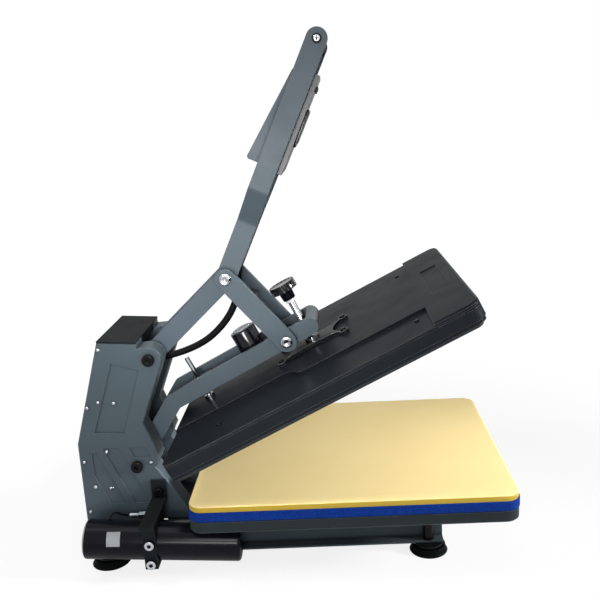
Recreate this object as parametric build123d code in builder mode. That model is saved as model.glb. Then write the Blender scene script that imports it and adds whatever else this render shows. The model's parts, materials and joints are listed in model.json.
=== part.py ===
from build123d import *
import os
from math import atan2, cos, degrees, hypot, pi, radians, sin, sqrt, tan

# Flat clamshell heat press with a toggle lever, millimetres.
# +X points to the operator, +Y to the operator's right, +Z up, Z = 0 is the table top.
# Left pieces lie on the -Y side, right pieces on the +Y side.
os.makedirs("parts", exist_ok=True)

# Pressing area and the pads on the lower platen
pad_length = 500.0
pad_width = 400.0
pad_corner = 22.0
felt_thickness = 9.5
felt_edge_round = 3.0
silicone_thickness = 14.5
silicone_overhang = 2.0
platen_thickness = 20.0
platen_edge_round = 2.0

# Sides of the prisms that stand for small round pieces
round_sides = 16
foot_sides = 24
tube_sides = 32
small_sides = 8

# Feet and base frame
puck_radius = 31.0
puck_top_radius = 27.5
puck_height = 11.0
disc_radius = 24.5
disc_thickness = 5.0
stem_radius = 8.5
foot_line_y = 107.0
front_foot_reach = 372.0
rear_foot_reach = 152.0
rail_height = 40.0
rail_line_y = 106.0
rail_flange = 22.0
rail_wall = 3.0
rail_front_reach = 396.0
rail_rear_reach = 190.0
cross_member_width = 40.0
rear_cross_reach = 165.0
middle_cross_reach = 40.0
front_cross_at = 330.0
support_height = 41.0
support_width = 50.0
support_wall = 3.0
rear_support_at = 110.0
front_support_at = 390.0

# Column
column_half_width = 80.0
frame_gap_half = 44.0
frame_plate = 6.0
cover_wall = 2.5
cover_edge_round = 2.0
column_depth = 195.0
column_bend_height = 55.0
column_top_rear_reach = 145.0
column_top_height = 227.0
column_top_fall = 4.0
column_top_front_reach = 82.0
ear_step = 8.0
ear_radius = 21.0
ear_under_angle = -20.0
throat_reach = 84.0
throat_height = 88.0
jaw_reach = 62.0
jaw_height = 27.0
notch_reach = 70.0
notch_height = 10.0
lip_reach = 54.0
lip_height = -13.0
toe_reach = 14.0
recess_depth = 1.6
recess_margin_top = 30.0
recess_margin_low = 25.0
recess_width_low = 49.0
recess_top_drop = 35.0
recess_bottom = 72.0
recess_tilt = 3.0
recess_ear_gap = 16.5
band_depth = 1.2
band_slant = 0.445
band_width = 27.0
band_top = 47.0
band_bottom = -52.0
middle_band_margin = 40.0
front_band_margin = 83.0
front_band_bottom = 29.0
rear_band_margin = 22.0
rear_band_foot = 44.0
rear_band_top = 40.0
top_screw_drop = 12.0
slope_screw_margin = 5.0
slope_screw_height = 118.0
wall_screw_margin = 8.0
wall_screw_heights = (24.0, -66.0)
rear_screw_margin = 21.0
rear_screw_heights = (127.0, -21.0)
middle_screw_margin = 46.5
middle_screw_height = 41.0
recess_screw_height = 124.0
band_screw_height = -25.0
front_screw_margin = 117.0
front_screw_height = 19.0
sheet = 2.0
top_cover_lip = 10.0

# Pivots of the toggle, measured from the rear edge and the top of the upper pad
upper_pivot_reach = 65.0
upper_pivot_drop = 32.0
upper_pivot_height = column_top_height - upper_pivot_drop
lower_pivot_reach = 101.0
lower_pivot_height = 13.0
pivot_shaft_radius = 8.0
pivot_sleeve_radius = 12.0
running_clearance = 0.05
side_clearance = 0.3
boss_radius = 13.0
pivot_screw_head_radius = 9.5
pivot_screw_head_height = 7.0
pivot_screw_shank_radius = 4.0
hex_socket_across = 8.0
hex_socket_depth = 4.0

# Lower arm and the heater that hangs on it, open by the resting angle
open_angle = 26.3
arm_plate = 8.0
arm_outer_half = 42.0
arm_width = 29.0
arm_bend_u = 97.0
arm_bend_v = 58.5
arm_end_u = 358.5
arm_end_v = 63.5
front_pivot_u = 314.0
front_pivot_v = 60.0
yoke_start_u = 326.0
yoke_wall = 4.0
yoke_floor = 8.0
yoke_boss_radius = 11.0
yoke_boss_height = 8.0
guide_plate_thickness = 6.0
guide_plate_width = 34.0
guide_plate_v = 56.0
magnet_u = 250.0
magnet_radius = 22.0
magnet_height = 41.0
magnet_top_v = 107.0
magnet_plate_length = 54.0
magnet_plate_thickness = 6.0
pole_radius = 16.5
pole_height = 2.0

# Heater
cover_length = 517.0
cover_width = 435.0
cover_rear_u = 91.0
cover_bottom_v = -6.5
cover_top_v = 27.0
cover_corner = 20.0
cover_edge = 3.0
seam_drop = 2.0
seam_height = 2.0
seam_depth = 1.2
heater_wall = 2.5
lip_depth = 6.0
lip_inset = 2.0
ledge_drop = 5.0
ledge_front_u = 537.0
ledge_rear_inner = 90.0
ledge_neck_start = 290.0
ledge_neck_end = 334.0
ledge_front_inner = 125.0
logo_recess_u = 571.5
logo_recess_length = 30.0
logo_recess_width = 163.0
logo_recess_depth = 1.5
slot_length = 16.0
slot_width = 4.0
slot_u = 514.0
slot_y = 136.0
heating_plate_margin = 8.5
heating_plate_drop = 5.5
heating_plate_thickness = 12.0
insulation_thickness = 15.0
ledge_screw_u = (181.0, 517.0)
ledge_screw_y = 156.0
small_screw_radius = 3.6
small_screw_height = 2.2

# Spider plate, pressure screw and knob
screw_u = 346.0
spider_ear_u = 57.5
spider_ear_y = 40.0
spider_ear_radius = 8.0
spider_waist = 24.0
spider_end_waist = 38.0
spider_thickness = 5.0
spider_screw_radius = 5.0
spider_screw_height = 3.5
rod_radius = 6.0
rod_clearance = 0.08
knob_radius = 22.5
knob_rim_height = 13.5
knob_top_v = 141.0
knob_ribs = 16
knob_rib_depth = 2.2
knob_rib_share = 0.6
hub_radius = 12.0
hub_height = 16.0
collar_radius = 8.5
collar_height = 5.0
swivel_radius = 13.0
swivel_height = 6.0
guide_rod_u = 142.0
guide_rod_radius = 4.0
guide_rod_clearance = 0.08
guide_rod_top_v = 106.0
guide_rod_foot_radius = 9.0
guide_rod_foot_height = 5.0
pressure_travel = 6.0
thread_pitch = 2.0

# Lever: rear link, cranked handle bars and grip
knee_reach = 62.0
knee_rise = 119.0
knee_height = upper_pivot_height + knee_rise
lever_width = 32.0
handle_angle = 65.4
handle_length = 389.0
crank_start = 100.0
crank_length = 54.0
crank_offset = 36.0
crank_bend_round = 10.0
knee_pin_radius = 7.0
knee_sleeve_radius = 11.0
grip_radius = 15.0
grip_bead = 1.2
grip_screw_radius = 5.3
grip_screw_height = 3.0
grip_ring_radius = 6.8
grip_ring_height = 1.5

# Front links
link_width = 33.0
link_plate = 8.0
link_gap = 1.0
clip_radius = 9.5
clip_thickness = 1.5
pin_overhang = 4.0
strike_bar_width = 14.0
strike_bar_thickness = 8.0
strike_radius = 15.0
strike_thickness = 4.0
magnet_air_gap = 0.6

# Control box between the handle bars
box_start = 192.0
box_end = 340.0
box_rear_low = 35.0
box_rear_high = 17.0
box_front = 17.0
box_wall = 2.5
box_corner = 3.0
panel_start = 187.0
panel_end = 343.0
panel_thickness = 7.0
bezel_start = 232.0
bezel_end = 292.0
bezel_width = 96.0
bezel_height = 4.0
button_radius = 5.0
button_at = 324.0
button_pitch = 40.0
button_height = 3.0
button_travel = 1.0
button_stem = 4.0
button_clearance = 0.25

# Tubular canister beside the column
tube_rear_reach = 173.0
tube_tilt = 3.3
tube_front_at = 72.0
tube_line_y = 150.0
tube_drop = 80.0
tube_radius = 30.7
tube_wall = 2.5
tube_cap_length = 5.0
clamp_width = 20.0
clamp_rear_reach = 76.0
clamp_wall = 4.0
clamp_depth_half = 32.5
clamp_drop_top = 45.0
clamp_drop_bottom = 112.0
clamp_split = 1.0
strap_width = 24.0
strap_rear_reach = 81.0
strap_thickness = 4.0
strap_top = -12.0
strap_screw_height = -32.0
clamp_screw_radius = 7.5
clamp_screw_height = 5.0
clamp_screw_drops = (70.0, 103.0)
sensor_line_y = 93.0
sensor_height = -68.0
sensor_radius = 5.8
nut_radius = 7.6
nut_length = 14.0
barrel_length = 16.0
barrel_gap = 4.0
lead_radius = 1.5
lead_sides = 6
lead_straight = 14.0
lead_end_back = 19.6
lead_meet = 81.5
lead_lean = 12.0
lead_last_run = 20.0

# Cable hose from the column to the control box
hose_radius = 5.8
hose_sides = 8
hose_line_y = -10.0
hose_end_y = -12.0
hose_run_in = 50.0
hose_start_behind = 63.0
hose_start_drop = 27.0
hose_low_reach = 50.0
hose_low_drop = 19.0
hose_bow_reach = 137.0
hose_bow_rise = 53.0
hose_top_reach = 146.0
hose_top_rise = 145.0
gland_radius = 9.5
gland_length = 10.0

# Power inlet and switch on the rear cover
inlet_width = 48.0
inlet_height = 60.0
inlet_flange = 3.0
inlet_body_depth = 26.0
inlet_above_base = 40.0
rocker_width = 18.0
rocker_height = 12.0
rocker_proud = 3.0
rocker_clearance = 0.4
rocker_sink = 1.5
rocker_waist = 2.0
rocker_valley = 20.0
rocker_tilt = 8.0
inlet_pin = 2.0
inlet_pin_pitch = 7.0
inlet_pin_share = 0.8
socket_width = 26.0
socket_height = 19.0
socket_depth = 16.0

# Heights of the stack and the place of the press over its origin
rail_bottom = puck_height + disc_thickness
rail_top = rail_bottom + rail_height
platen_bottom = rail_top + support_height
platen_top = platen_bottom + platen_thickness
felt_bottom = platen_top + silicone_thickness
pad_top = felt_bottom + felt_thickness
rear_most = column_depth + inlet_flange + rocker_proud
front_most = pad_length + silicone_overhang
pad_rear = (rear_most - front_most) / 2


def at(reach, height):
    """A point of the side view, from distances off the upper pad's rear edge and top."""
    return (pad_rear + reach, pad_top + height)


upper_pivot = at(-upper_pivot_reach, upper_pivot_height)
lower_pivot = at(-lower_pivot_reach, lower_pivot_height)
knee = at(knee_reach, knee_height)
arm_cos = cos(radians(open_angle))
arm_sin = sin(radians(open_angle))
arm_up = Axis((0, 0, 0), (-arm_sin, 0, arm_cos))


def on_arm(u, v):
    """A point of the side view, from distances along and square to the open heater."""
    return (lower_pivot[0] + u * arm_cos - v * arm_sin, lower_pivot[1] + u * arm_sin + v * arm_cos)


def turned(point, centre, angle):
    """The point turned about the centre by an angle in degrees, anticlockwise in the side view."""
    c, s = cos(radians(angle)), sin(radians(angle))
    dx, dz = point[0] - centre[0], point[1] - centre[1]
    return (centre[0] + c * dx - s * dz, centre[1] + s * dx + c * dz)


def heading(start, end):
    return degrees(atan2(end[1] - start[1], end[0] - start[0]))


def distance(start, end):
    return hypot(end[0] - start[0], end[1] - start[1])


# Toggle geometry: where the knee goes when the arm has turned down flat
front_pivot = on_arm(front_pivot_u, front_pivot_v)
rear_link_length = distance(upper_pivot, knee)
front_link_length = distance(knee, front_pivot)
front_pivot_shut = turned(front_pivot, lower_pivot, -open_angle)
span_shut = distance(upper_pivot, front_pivot_shut)
foot_shut = (rear_link_length**2 - front_link_length**2 + span_shut**2) / (2 * span_shut)
rise_shut = sqrt(rear_link_length**2 - foot_shut**2)
rear_link_shut = heading(upper_pivot, front_pivot_shut) + degrees(atan2(rise_shut, foot_shut))
lever_turn = rear_link_shut - heading(upper_pivot, knee)
knee_shut = turned(knee, upper_pivot, lever_turn)
link_turn = heading(knee_shut, front_pivot_shut) - heading(knee, front_pivot)
print("arm turns", -open_angle, "lever turns", round(lever_turn, 4), "links turn", round(link_turn, 4))
print("lever ratio", round(lever_turn / -open_angle, 6))
print("front link ratio", round((link_turn + open_angle) / -open_angle, 6))


def side_plane(origin, angle, y):
    """A plane seen from the left: local x along the angle, extrusions go towards the left."""
    a = radians(angle)
    return Plane(origin=(origin[0], y, origin[1]), x_dir=(cos(a), 0, sin(a)), z_dir=(0, -1, 0))


def arm_side(y):
    return side_plane(lower_pivot, open_angle, y)


def heater_plan(v):
    """A plane parallel to the heater at a height v over the lower pivot: local x is u, local y is Y."""
    origin = on_arm(0, v)
    return Plane(origin=(origin[0], 0, origin[1]), x_dir=(arm_cos, 0, arm_sin), z_dir=(-arm_sin, 0, arm_cos))


def slot_between(start, end, width):
    """A bar with round ends between two points of the sketch."""
    middle = ((start[0] + end[0]) / 2, (start[1] + end[1]) / 2)
    with Locations(Location((middle[0], middle[1], 0), (0, 0, heading(start, end)))):
        SlotCenterToCenter(distance(start, end), width)


def save(part, name):
    part.label = name
    export_step(part, f"parts/{name}.step")


def mirrored(part):
    """The same piece on the other side of the press."""
    with BuildPart() as twin:
        mirror(part, about=Plane.XZ)
    return twin.part


def save_pair(part, name):
    save(part, name + "_left")
    save(mirrored(part), name + "_right")


foot_places = [
    (pad_rear + x, side * foot_line_y) for x in (front_foot_reach, -rear_foot_reach) for side in (-1, 1)
]


def make_feet():
    with BuildPart() as rubber:
        with BuildSketch():
            with Locations(*foot_places):
                RegularPolygon(puck_radius, foot_sides)
        extrude(amount=puck_height, taper=degrees(atan2(puck_radius - puck_top_radius, puck_height)))
    save(rubber.part, "rubber_feet")
    with BuildPart() as stems:
        with BuildSketch(Plane.XY.offset(puck_height)):
            with Locations(*foot_places):
                RegularPolygon(disc_radius, foot_sides)
        extrude(amount=disc_thickness)
        with BuildSketch(Plane.XY.offset(rail_bottom)):
            with Locations(*foot_places):
                RegularPolygon(stem_radius, round_sides)
        extrude(amount=rail_height - rail_wall)
    save(stems.part, "foot_stems")


def make_base_frame():
    """Two outward channels with boxed cross members welded between their webs."""
    rail_length = rail_front_reach + rail_rear_reach
    rail_centre_x = pad_rear + (rail_front_reach - rail_rear_reach) / 2
    web_y = rail_line_y - rail_flange / 2
    with BuildPart() as frame:
        for side in (-1, 1):
            with BuildSketch(Plane.XY.offset(rail_bottom)):
                with Locations((rail_centre_x, side * rail_line_y)):
                    Rectangle(rail_length, rail_flange)
            extrude(amount=rail_height)
            with BuildSketch(Plane.XY.offset(rail_bottom + rail_wall)):
                with Locations((rail_centre_x, side * (rail_line_y + rail_wall / 2))):
                    Rectangle(rail_length, rail_flange - rail_wall)
            extrude(amount=rail_height - 2 * rail_wall, mode=Mode.SUBTRACT)
        for reach in (-rear_cross_reach, -middle_cross_reach, front_cross_at):
            with BuildSketch(Plane.XY.offset(rail_bottom)):
                with Locations((pad_rear + reach, 0)):
                    Rectangle(cross_member_width, 2 * web_y)
            extrude(amount=rail_height)
            with BuildSketch(Plane.XY.offset(rail_bottom + rail_wall)):
                with Locations((pad_rear + reach, 0)):
                    Rectangle(cross_member_width - 2 * rail_wall, 2 * web_y)
            extrude(amount=rail_height - 2 * rail_wall, mode=Mode.SUBTRACT)
        with BuildSketch(Plane.XY.offset(rail_bottom)):
            with Locations(*foot_places):
                RegularPolygon(stem_radius, round_sides)
        extrude(amount=rail_wall, mode=Mode.SUBTRACT)
    save(frame.part, "base_frame")


def make_platen_supports():
    """Two hat-shaped cross channels that carry the lower platen over the rails."""
    with BuildPart() as supports:
        for at_x in (rear_support_at, front_support_at):
            with BuildSketch(Plane.XY.offset(rail_top)):
                with Locations((pad_rear + at_x, 0)):
                    Rectangle(support_width, 2 * (rail_line_y + rail_flange / 2))
            extrude(amount=support_height)
            with BuildSketch(Plane.XY.offset(rail_top)):
                with Locations((pad_rear + at_x, 0)):
                    Rectangle(support_width - 2 * support_wall, 2 * (rail_line_y + rail_flange / 2))
            extrude(amount=support_height - support_wall, mode=Mode.SUBTRACT)
    save(supports.part, "platen_supports")


def make_slab(name, bottom, thickness, grow, edge_round, both_edges):
    with BuildPart() as slab:
        with BuildSketch(Plane.XY.offset(bottom)):
            with Locations((pad_rear + pad_length / 2, 0)):
                RectangleRounded(pad_length + 2 * grow, pad_width + 2 * grow, pad_corner + grow)
        extrude(amount=thickness)
        chamfer(slab.faces().sort_by(Axis.Z)[-1].edges(), edge_round)
        if both_edges:
            chamfer(slab.faces().sort_by(Axis.Z)[0].edges(), edge_round)
    save(slab.part, name)


def column_points():
    """Outline of the column's sides from the rear bottom corner, forwards along the top."""
    ear_under = radians(ear_under_angle)
    bottom = rail_top - pad_top
    return [
        at(-column_depth, bottom),
        at(-column_depth, column_bend_height),
        at(-column_top_rear_reach, column_top_height),
        at(-column_top_front_reach, column_top_height - column_top_fall),
        at(-column_top_front_reach, column_top_height - column_top_fall - ear_step),
        (upper_pivot[0], upper_pivot[1] + ear_radius),
        (upper_pivot[0] + ear_radius * cos(ear_under), upper_pivot[1] + ear_radius * sin(ear_under)),
        at(-throat_reach, throat_height),
        at(-jaw_reach, jaw_height),
        at(-notch_reach, notch_height),
        at(-lip_reach, lip_height),
        at(-toe_reach, bottom),
    ]


def inset(points, amount):
    """The corners of a clockwise outline, moved inwards by the same distance off both of their edges."""
    moved = []
    for before, here, after in zip(points[-1:] + points[:-1], points, points[1:] + points[:1]):
        first, second = radians(heading(before, here)), radians(heading(here, after))
        half = (second - first) / 2
        along = first + half
        reach = amount / cos(half)
        moved.append((here[0] + reach * sin(along), here[1] - reach * cos(along)))
    return moved


def column_outline(wall=0.0):
    with BuildLine() as outline:
        Polyline(*inset(column_points(), wall), close=True)
    make_face(outline.edges())
    with Locations(upper_pivot):
        Circle(ear_radius - wall)


def on_side(margin, height):
    """A point of the side view, a distance forwards of the column's rear edge at that height."""
    rise = max(0.0, height - column_bend_height) / (column_top_height - column_bend_height)
    return at(margin - column_depth + rise * (column_depth - column_top_rear_reach), height)


def slanted(margin, width, top, bottom):
    """A band of the side cover that leans forwards on its way down."""
    shift = band_slant * (top - bottom)
    return [
        at(margin - column_depth, top),
        at(margin + width - column_depth, top),
        at(margin + width + shift - column_depth, bottom),
        at(margin + shift - column_depth, bottom),
    ]


top_grade = column_top_fall / (column_top_rear_reach - column_top_front_reach)
recess_corners = [
    on_side(recess_margin_top, column_top_height - recess_top_drop),
    (upper_pivot[0] - recess_ear_gap, upper_pivot[1] - recess_ear_gap),
    on_side(recess_margin_low + recess_width_low, recess_bottom),
    on_side(recess_margin_low, recess_bottom + recess_tilt),
]
rear_band_height = rear_band_top - band_bottom
rear_band_corners = [
    at(rear_band_margin - column_depth, rear_band_top),
    at(rear_band_foot + band_width - band_slant * rear_band_height - column_depth, rear_band_top),
    at(rear_band_foot + band_width - column_depth, band_bottom),
    at(rear_band_foot - column_depth, band_bottom),
    at(rear_band_margin - column_depth, band_bottom + (rear_band_foot - rear_band_margin) / band_slant),
]
band_outlines = [
    slanted(middle_band_margin, band_width, band_top, band_bottom),
    slanted(front_band_margin, band_width, band_top, front_band_bottom),
    rear_band_corners,
]
cover_screw_places = [
    on_side(slope_screw_margin, column_top_height - top_screw_drop),
    on_side(slope_screw_margin, slope_screw_height),
    *[on_side(wall_screw_margin, height) for height in wall_screw_heights],
    *[on_side(rear_screw_margin, height) for height in rear_screw_heights],
    on_side(middle_screw_margin, middle_screw_height),
    on_side(front_screw_margin, front_screw_height),
]
screw_rows = (
    (0.0, cover_screw_places),
    (recess_depth, [on_side(middle_screw_margin, recess_screw_height)]),
    (band_depth, [on_side(middle_screw_margin, band_screw_height)]),
)


def make_column():
    face_y = -column_half_width
    rim_y = -(frame_gap_half + frame_plate)
    with BuildPart() as frame:
        with BuildSketch(side_plane((0, 0), 0, -frame_gap_half)):
            column_outline()
            with Locations(upper_pivot, lower_pivot):
                RegularPolygon(pivot_shaft_radius, round_sides, mode=Mode.SUBTRACT)
        extrude(amount=frame_plate)
    save_pair(frame.part, "column_frame")

    with BuildPart() as cover:
        with BuildSketch(side_plane((0, 0), 0, rim_y)):
            column_outline()
        extrude(amount=column_half_width + rim_y)
        outer = cover.faces().sort_by(Axis.Y)[0]
        chamfer(outer.edges(), cover_edge_round)
        with BuildSketch(side_plane((0, 0), 0, rim_y)):
            column_outline(cover_wall)
        extrude(amount=column_half_width + rim_y - cover_wall, mode=Mode.SUBTRACT)
        with BuildSketch(side_plane((0, 0), 0, rim_y)):
            with Locations(upper_pivot, lower_pivot):
                RegularPolygon(boss_radius, round_sides)
        extrude(amount=column_half_width + rim_y)
        with BuildSketch(side_plane((0, 0), 0, rim_y)):
            with Locations(upper_pivot, lower_pivot):
                RegularPolygon(pivot_screw_shank_radius + side_clearance, small_sides)
        extrude(amount=column_half_width + rim_y, mode=Mode.SUBTRACT)
        with BuildSketch(side_plane((0, 0), 0, face_y)):
            Polygon(*recess_corners, align=None)
        extrude(amount=-recess_depth, mode=Mode.SUBTRACT)
        with BuildSketch(side_plane((0, 0), 0, face_y)):
            for outline in band_outlines:
                Polygon(*outline, align=None)
        extrude(amount=-band_depth, mode=Mode.SUBTRACT)
    save_pair(cover.part, "side_cover")

    with BuildPart() as screws:
        for face, direction in ((face_y, 1), (column_half_width, -1)):
            for depth, places in screw_rows:
                with BuildSketch(side_plane((0, 0), 0, face + direction * depth)):
                    with Locations(*places):
                        RegularPolygon(small_screw_radius, small_sides)
                extrude(amount=direction * small_screw_height)
    save(screws.part, "cover_screws")

    top_rear, top_front = column_points()[2:4]
    with BuildPart() as top:
        with BuildSketch(side_plane((0, 0), 0, column_half_width)):
            Polygon(
                top_rear,
                (top_rear[0], top_rear[1] + sheet),
                (top_front[0], top_front[1] + sheet),
                top_front,
                align=None,
            )
        extrude(amount=2 * column_half_width)
        with BuildSketch(side_plane((0, 0), 0, frame_gap_half)):
            Polygon(
                top_front,
                (top_front[0], top_front[1] - top_cover_lip),
                (top_front[0] - sheet, top_front[1] - top_cover_lip),
                (top_front[0] - sheet, top_front[1] + sheet * top_grade),
                align=None,
            )
        extrude(amount=2 * frame_gap_half)
    save(top.part, "top_cover")

    back = column_points()[:3]
    slope = radians(heading(back[1], back[2]))
    inner_top = sheet / sin(slope) / (1 + top_grade / tan(slope))
    with BuildPart() as rear:
        with BuildSketch(side_plane((0, 0), 0, frame_gap_half)):
            with BuildLine():
                Polyline(
                    back[0],
                    back[1],
                    back[2],
                    (back[2][0] + inner_top, back[2][1] - top_grade * inner_top),
                    (back[1][0] + sheet, back[1][1] - sheet * tan(pi / 4 - slope / 2)),
                    (back[0][0] + sheet, back[0][1]),
                    close=True,
                )
            make_face()
        extrude(amount=2 * frame_gap_half)
        with BuildSketch(Plane.YZ.offset(pad_rear - column_depth)):
            with Locations((0, rail_top + inlet_above_base)):
                Rectangle(inlet_width - 2 * inlet_flange, inlet_height - 2 * inlet_flange)
        extrude(amount=sheet, mode=Mode.SUBTRACT)
    save(rear.part, "rear_cover")


def make_inlet():
    rear_face = pad_rear - column_depth
    middle = rail_top + inlet_above_base
    body_width = inlet_width - 2 * inlet_flange - side_clearance
    body_height = inlet_height - 2 * inlet_flange - side_clearance
    rocker_middle = middle + inlet_height / 2 - inlet_flange - rocker_height
    socket_middle = middle - inlet_height / 2 + inlet_flange + socket_height
    with BuildPart() as inlet:
        with BuildSketch(Plane.YZ.offset(rear_face)):
            with Locations((0, middle)):
                Rectangle(inlet_width, inlet_height)
        extrude(amount=-inlet_flange)
        with BuildSketch(Plane.YZ.offset(rear_face)):
            with Locations((0, middle)):
                Rectangle(body_width, body_height)
        extrude(amount=inlet_body_depth)
        with BuildSketch(Plane.YZ.offset(rear_face - inlet_flange)):
            with Locations((0, socket_middle)):
                Rectangle(socket_width, socket_height)
        extrude(amount=socket_depth, mode=Mode.SUBTRACT)
        with BuildSketch(Plane.YZ.offset(rear_face - inlet_flange + socket_depth)):
            with Locations(
                (0, socket_middle + inlet_pin),
                (-inlet_pin_pitch, socket_middle),
                (inlet_pin_pitch, socket_middle),
            ):
                Rectangle(inlet_pin, inlet_pin * 2)
        extrude(amount=-socket_depth * inlet_pin_share)
        with BuildSketch(Plane.YZ.offset(rear_face - inlet_flange)):
            with Locations((0, rocker_middle)):
                Rectangle(rocker_width + 2 * rocker_clearance, rocker_height + 2 * rocker_clearance)
        extrude(amount=rocker_height, mode=Mode.SUBTRACT)
    save(inlet.part, "power_inlet")

    # The rocker swings about an axis just inside the flange and stays within a circle about it
    radius = rocker_height / 2
    pivot = (rear_face - inlet_flange + rocker_sink, rocker_middle)
    with BuildPart() as rocker:
        with BuildSketch(side_plane(pivot, rocker_tilt, rocker_width / 2)):
            Circle(radius)
            Polygon(
                (-rocker_waist, 0),
                (-rocker_waist - radius * tan(radians(rocker_valley)), radius),
                (-2 * radius, radius),
                (-2 * radius, -radius),
                (-rocker_waist - radius * tan(radians(rocker_valley)), -radius),
                align=None,
                mode=Mode.SUBTRACT,
            )
        extrude(amount=rocker_width)
    save(rocker.part, "power_rocker")
    print("rocker pivot", round(pivot[0], 3), round(pivot[1], 3))


def make_pivots():
    end_y = frame_gap_half + frame_plate
    sleeve_half = arm_outer_half - arm_plate - side_clearance
    for name, place in (("upper_pivot_shaft", upper_pivot), ("lower_pivot_shaft", lower_pivot)):
        with BuildPart() as shaft:
            with BuildSketch(side_plane(place, 0, end_y)):
                RegularPolygon(pivot_shaft_radius, round_sides)
            extrude(amount=2 * end_y)
            with BuildSketch(side_plane(place, 0, sleeve_half)):
                RegularPolygon(pivot_sleeve_radius, round_sides)
            extrude(amount=2 * sleeve_half)
        save(shaft.part, name)

    with BuildPart() as screws:
        for face, direction in ((-column_half_width, 1), (column_half_width, -1)):
            with BuildSketch(side_plane((0, 0), 0, face)):
                with Locations(upper_pivot, lower_pivot):
                    RegularPolygon(pivot_screw_head_radius, round_sides)
            extrude(amount=direction * pivot_screw_head_height)
            with BuildSketch(side_plane((0, 0), 0, face)):
                with Locations(upper_pivot, lower_pivot):
                    RegularPolygon(pivot_screw_shank_radius, small_sides)
            extrude(amount=-direction * (column_half_width - end_y))
            with BuildSketch(side_plane((0, 0), 0, face + -direction * pivot_screw_head_height)):
                with Locations(upper_pivot, lower_pivot):
                    RegularPolygon(hex_socket_across / 2, 6, major_radius=False)
            extrude(amount=-direction * hex_socket_depth, mode=Mode.SUBTRACT)
    save(screws.part, "pivot_screws")


def make_arm():
    inner_y = arm_outer_half - arm_plate
    bend = (arm_bend_u, arm_bend_v)
    tip = (arm_end_u, arm_end_v)
    with BuildPart() as bar:
        with BuildSketch(arm_side(-inner_y)):
            slot_between((0, 0), bend, arm_width)
            slot_between(bend, tip, arm_width)
            with Locations((0, 0)):
                Circle(pivot_shaft_radius + running_clearance, mode=Mode.SUBTRACT)
            with Locations((front_pivot_u, front_pivot_v)):
                RegularPolygon(knee_pin_radius, round_sides, mode=Mode.SUBTRACT)
        extrude(amount=arm_plate)
    save_pair(bar.part, "arm_bar")

    yoke_y = inner_y
    half = arm_width / 2
    floor_v = arm_end_v - half
    with BuildPart() as yoke:
        with BuildSketch(arm_side(yoke_y)):
            with BuildLine():
                Line((yoke_start_u, floor_v), (arm_end_u, floor_v))
                ThreePointArc(
                    (arm_end_u, floor_v),
                    (arm_end_u + half, arm_end_v),
                    (arm_end_u, arm_end_v + half),
                )
                Line((arm_end_u, arm_end_v + half), (arm_end_u, arm_end_v + half - yoke_wall))
                ThreePointArc(
                    (arm_end_u, arm_end_v + half - yoke_wall),
                    (arm_end_u + half - yoke_wall, arm_end_v),
                    (arm_end_u, floor_v + yoke_floor),
                )
                Line((arm_end_u, floor_v + yoke_floor), (yoke_start_u, floor_v + yoke_floor))
                Line((yoke_start_u, floor_v + yoke_floor), (yoke_start_u, floor_v))
            make_face()
        extrude(amount=2 * yoke_y)
        with BuildSketch(heater_plan(floor_v + yoke_floor / 2)):
            with Locations((screw_u, 0)):
                RegularPolygon(yoke_boss_radius, round_sides)
        extrude(amount=yoke_floor / 2 + yoke_boss_height)
        with BuildSketch(heater_plan(floor_v - yoke_wall)):
            with Locations((screw_u, 0)):
                Circle(rod_radius + rod_clearance)
        extrude(amount=yoke_floor + yoke_boss_height + 2 * yoke_wall, mode=Mode.SUBTRACT)
    save(yoke.part, "arm_yoke")

    with BuildPart() as plates:
        with BuildSketch(heater_plan(guide_plate_v)):
            with Locations((guide_rod_u, 0)):
                Rectangle(guide_plate_width, 2 * inner_y)
                RegularPolygon(guide_rod_radius + guide_rod_clearance, small_sides, mode=Mode.SUBTRACT)
        extrude(amount=guide_plate_thickness)
        with BuildSketch(heater_plan(magnet_top_v - pole_height - magnet_height - magnet_plate_thickness)):
            with Locations((magnet_u, 0)):
                Rectangle(magnet_plate_length, 2 * inner_y)
        extrude(amount=magnet_plate_thickness)
    save(plates.part, "arm_cross_plates")

    with BuildPart() as magnet:
        with BuildSketch(heater_plan(magnet_top_v - pole_height - magnet_height)):
            with Locations((magnet_u, 0)):
                RegularPolygon(magnet_radius, foot_sides)
        extrude(amount=magnet_height)
        chamfer(magnet.faces().sort_by(arm_up)[-1].edges(), pole_height)
    save(magnet.part, "electromagnet")

    with BuildPart() as pole:
        with BuildSketch(heater_plan(magnet_top_v - pole_height)):
            with Locations((magnet_u, 0)):
                RegularPolygon(pole_radius, foot_sides)
        extrude(amount=pole_height)
    save(pole.part, "magnet_pole")

    pin_y = arm_outer_half + link_gap + link_plate + pin_overhang
    clip_y = arm_outer_half + link_gap + link_plate + side_clearance
    with BuildPart() as pins:
        with BuildSketch(side_plane(front_pivot, open_angle, pin_y)):
            RegularPolygon(knee_pin_radius, round_sides)
        extrude(amount=2 * pin_y)
        for face in (clip_y + clip_thickness, -clip_y):
            with BuildSketch(side_plane(front_pivot, open_angle, face)):
                RegularPolygon(clip_radius, round_sides)
            extrude(amount=clip_thickness)
    save(pins.part, "front_pivot_pin")


def cover_outline(inwards, mode=Mode.ADD):
    with Locations((cover_rear_u + cover_length / 2, 0)):
        RectangleRounded(
            cover_length - 2 * inwards,
            cover_width - 2 * inwards,
            cover_corner - inwards,
            mode=mode,
        )


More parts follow.
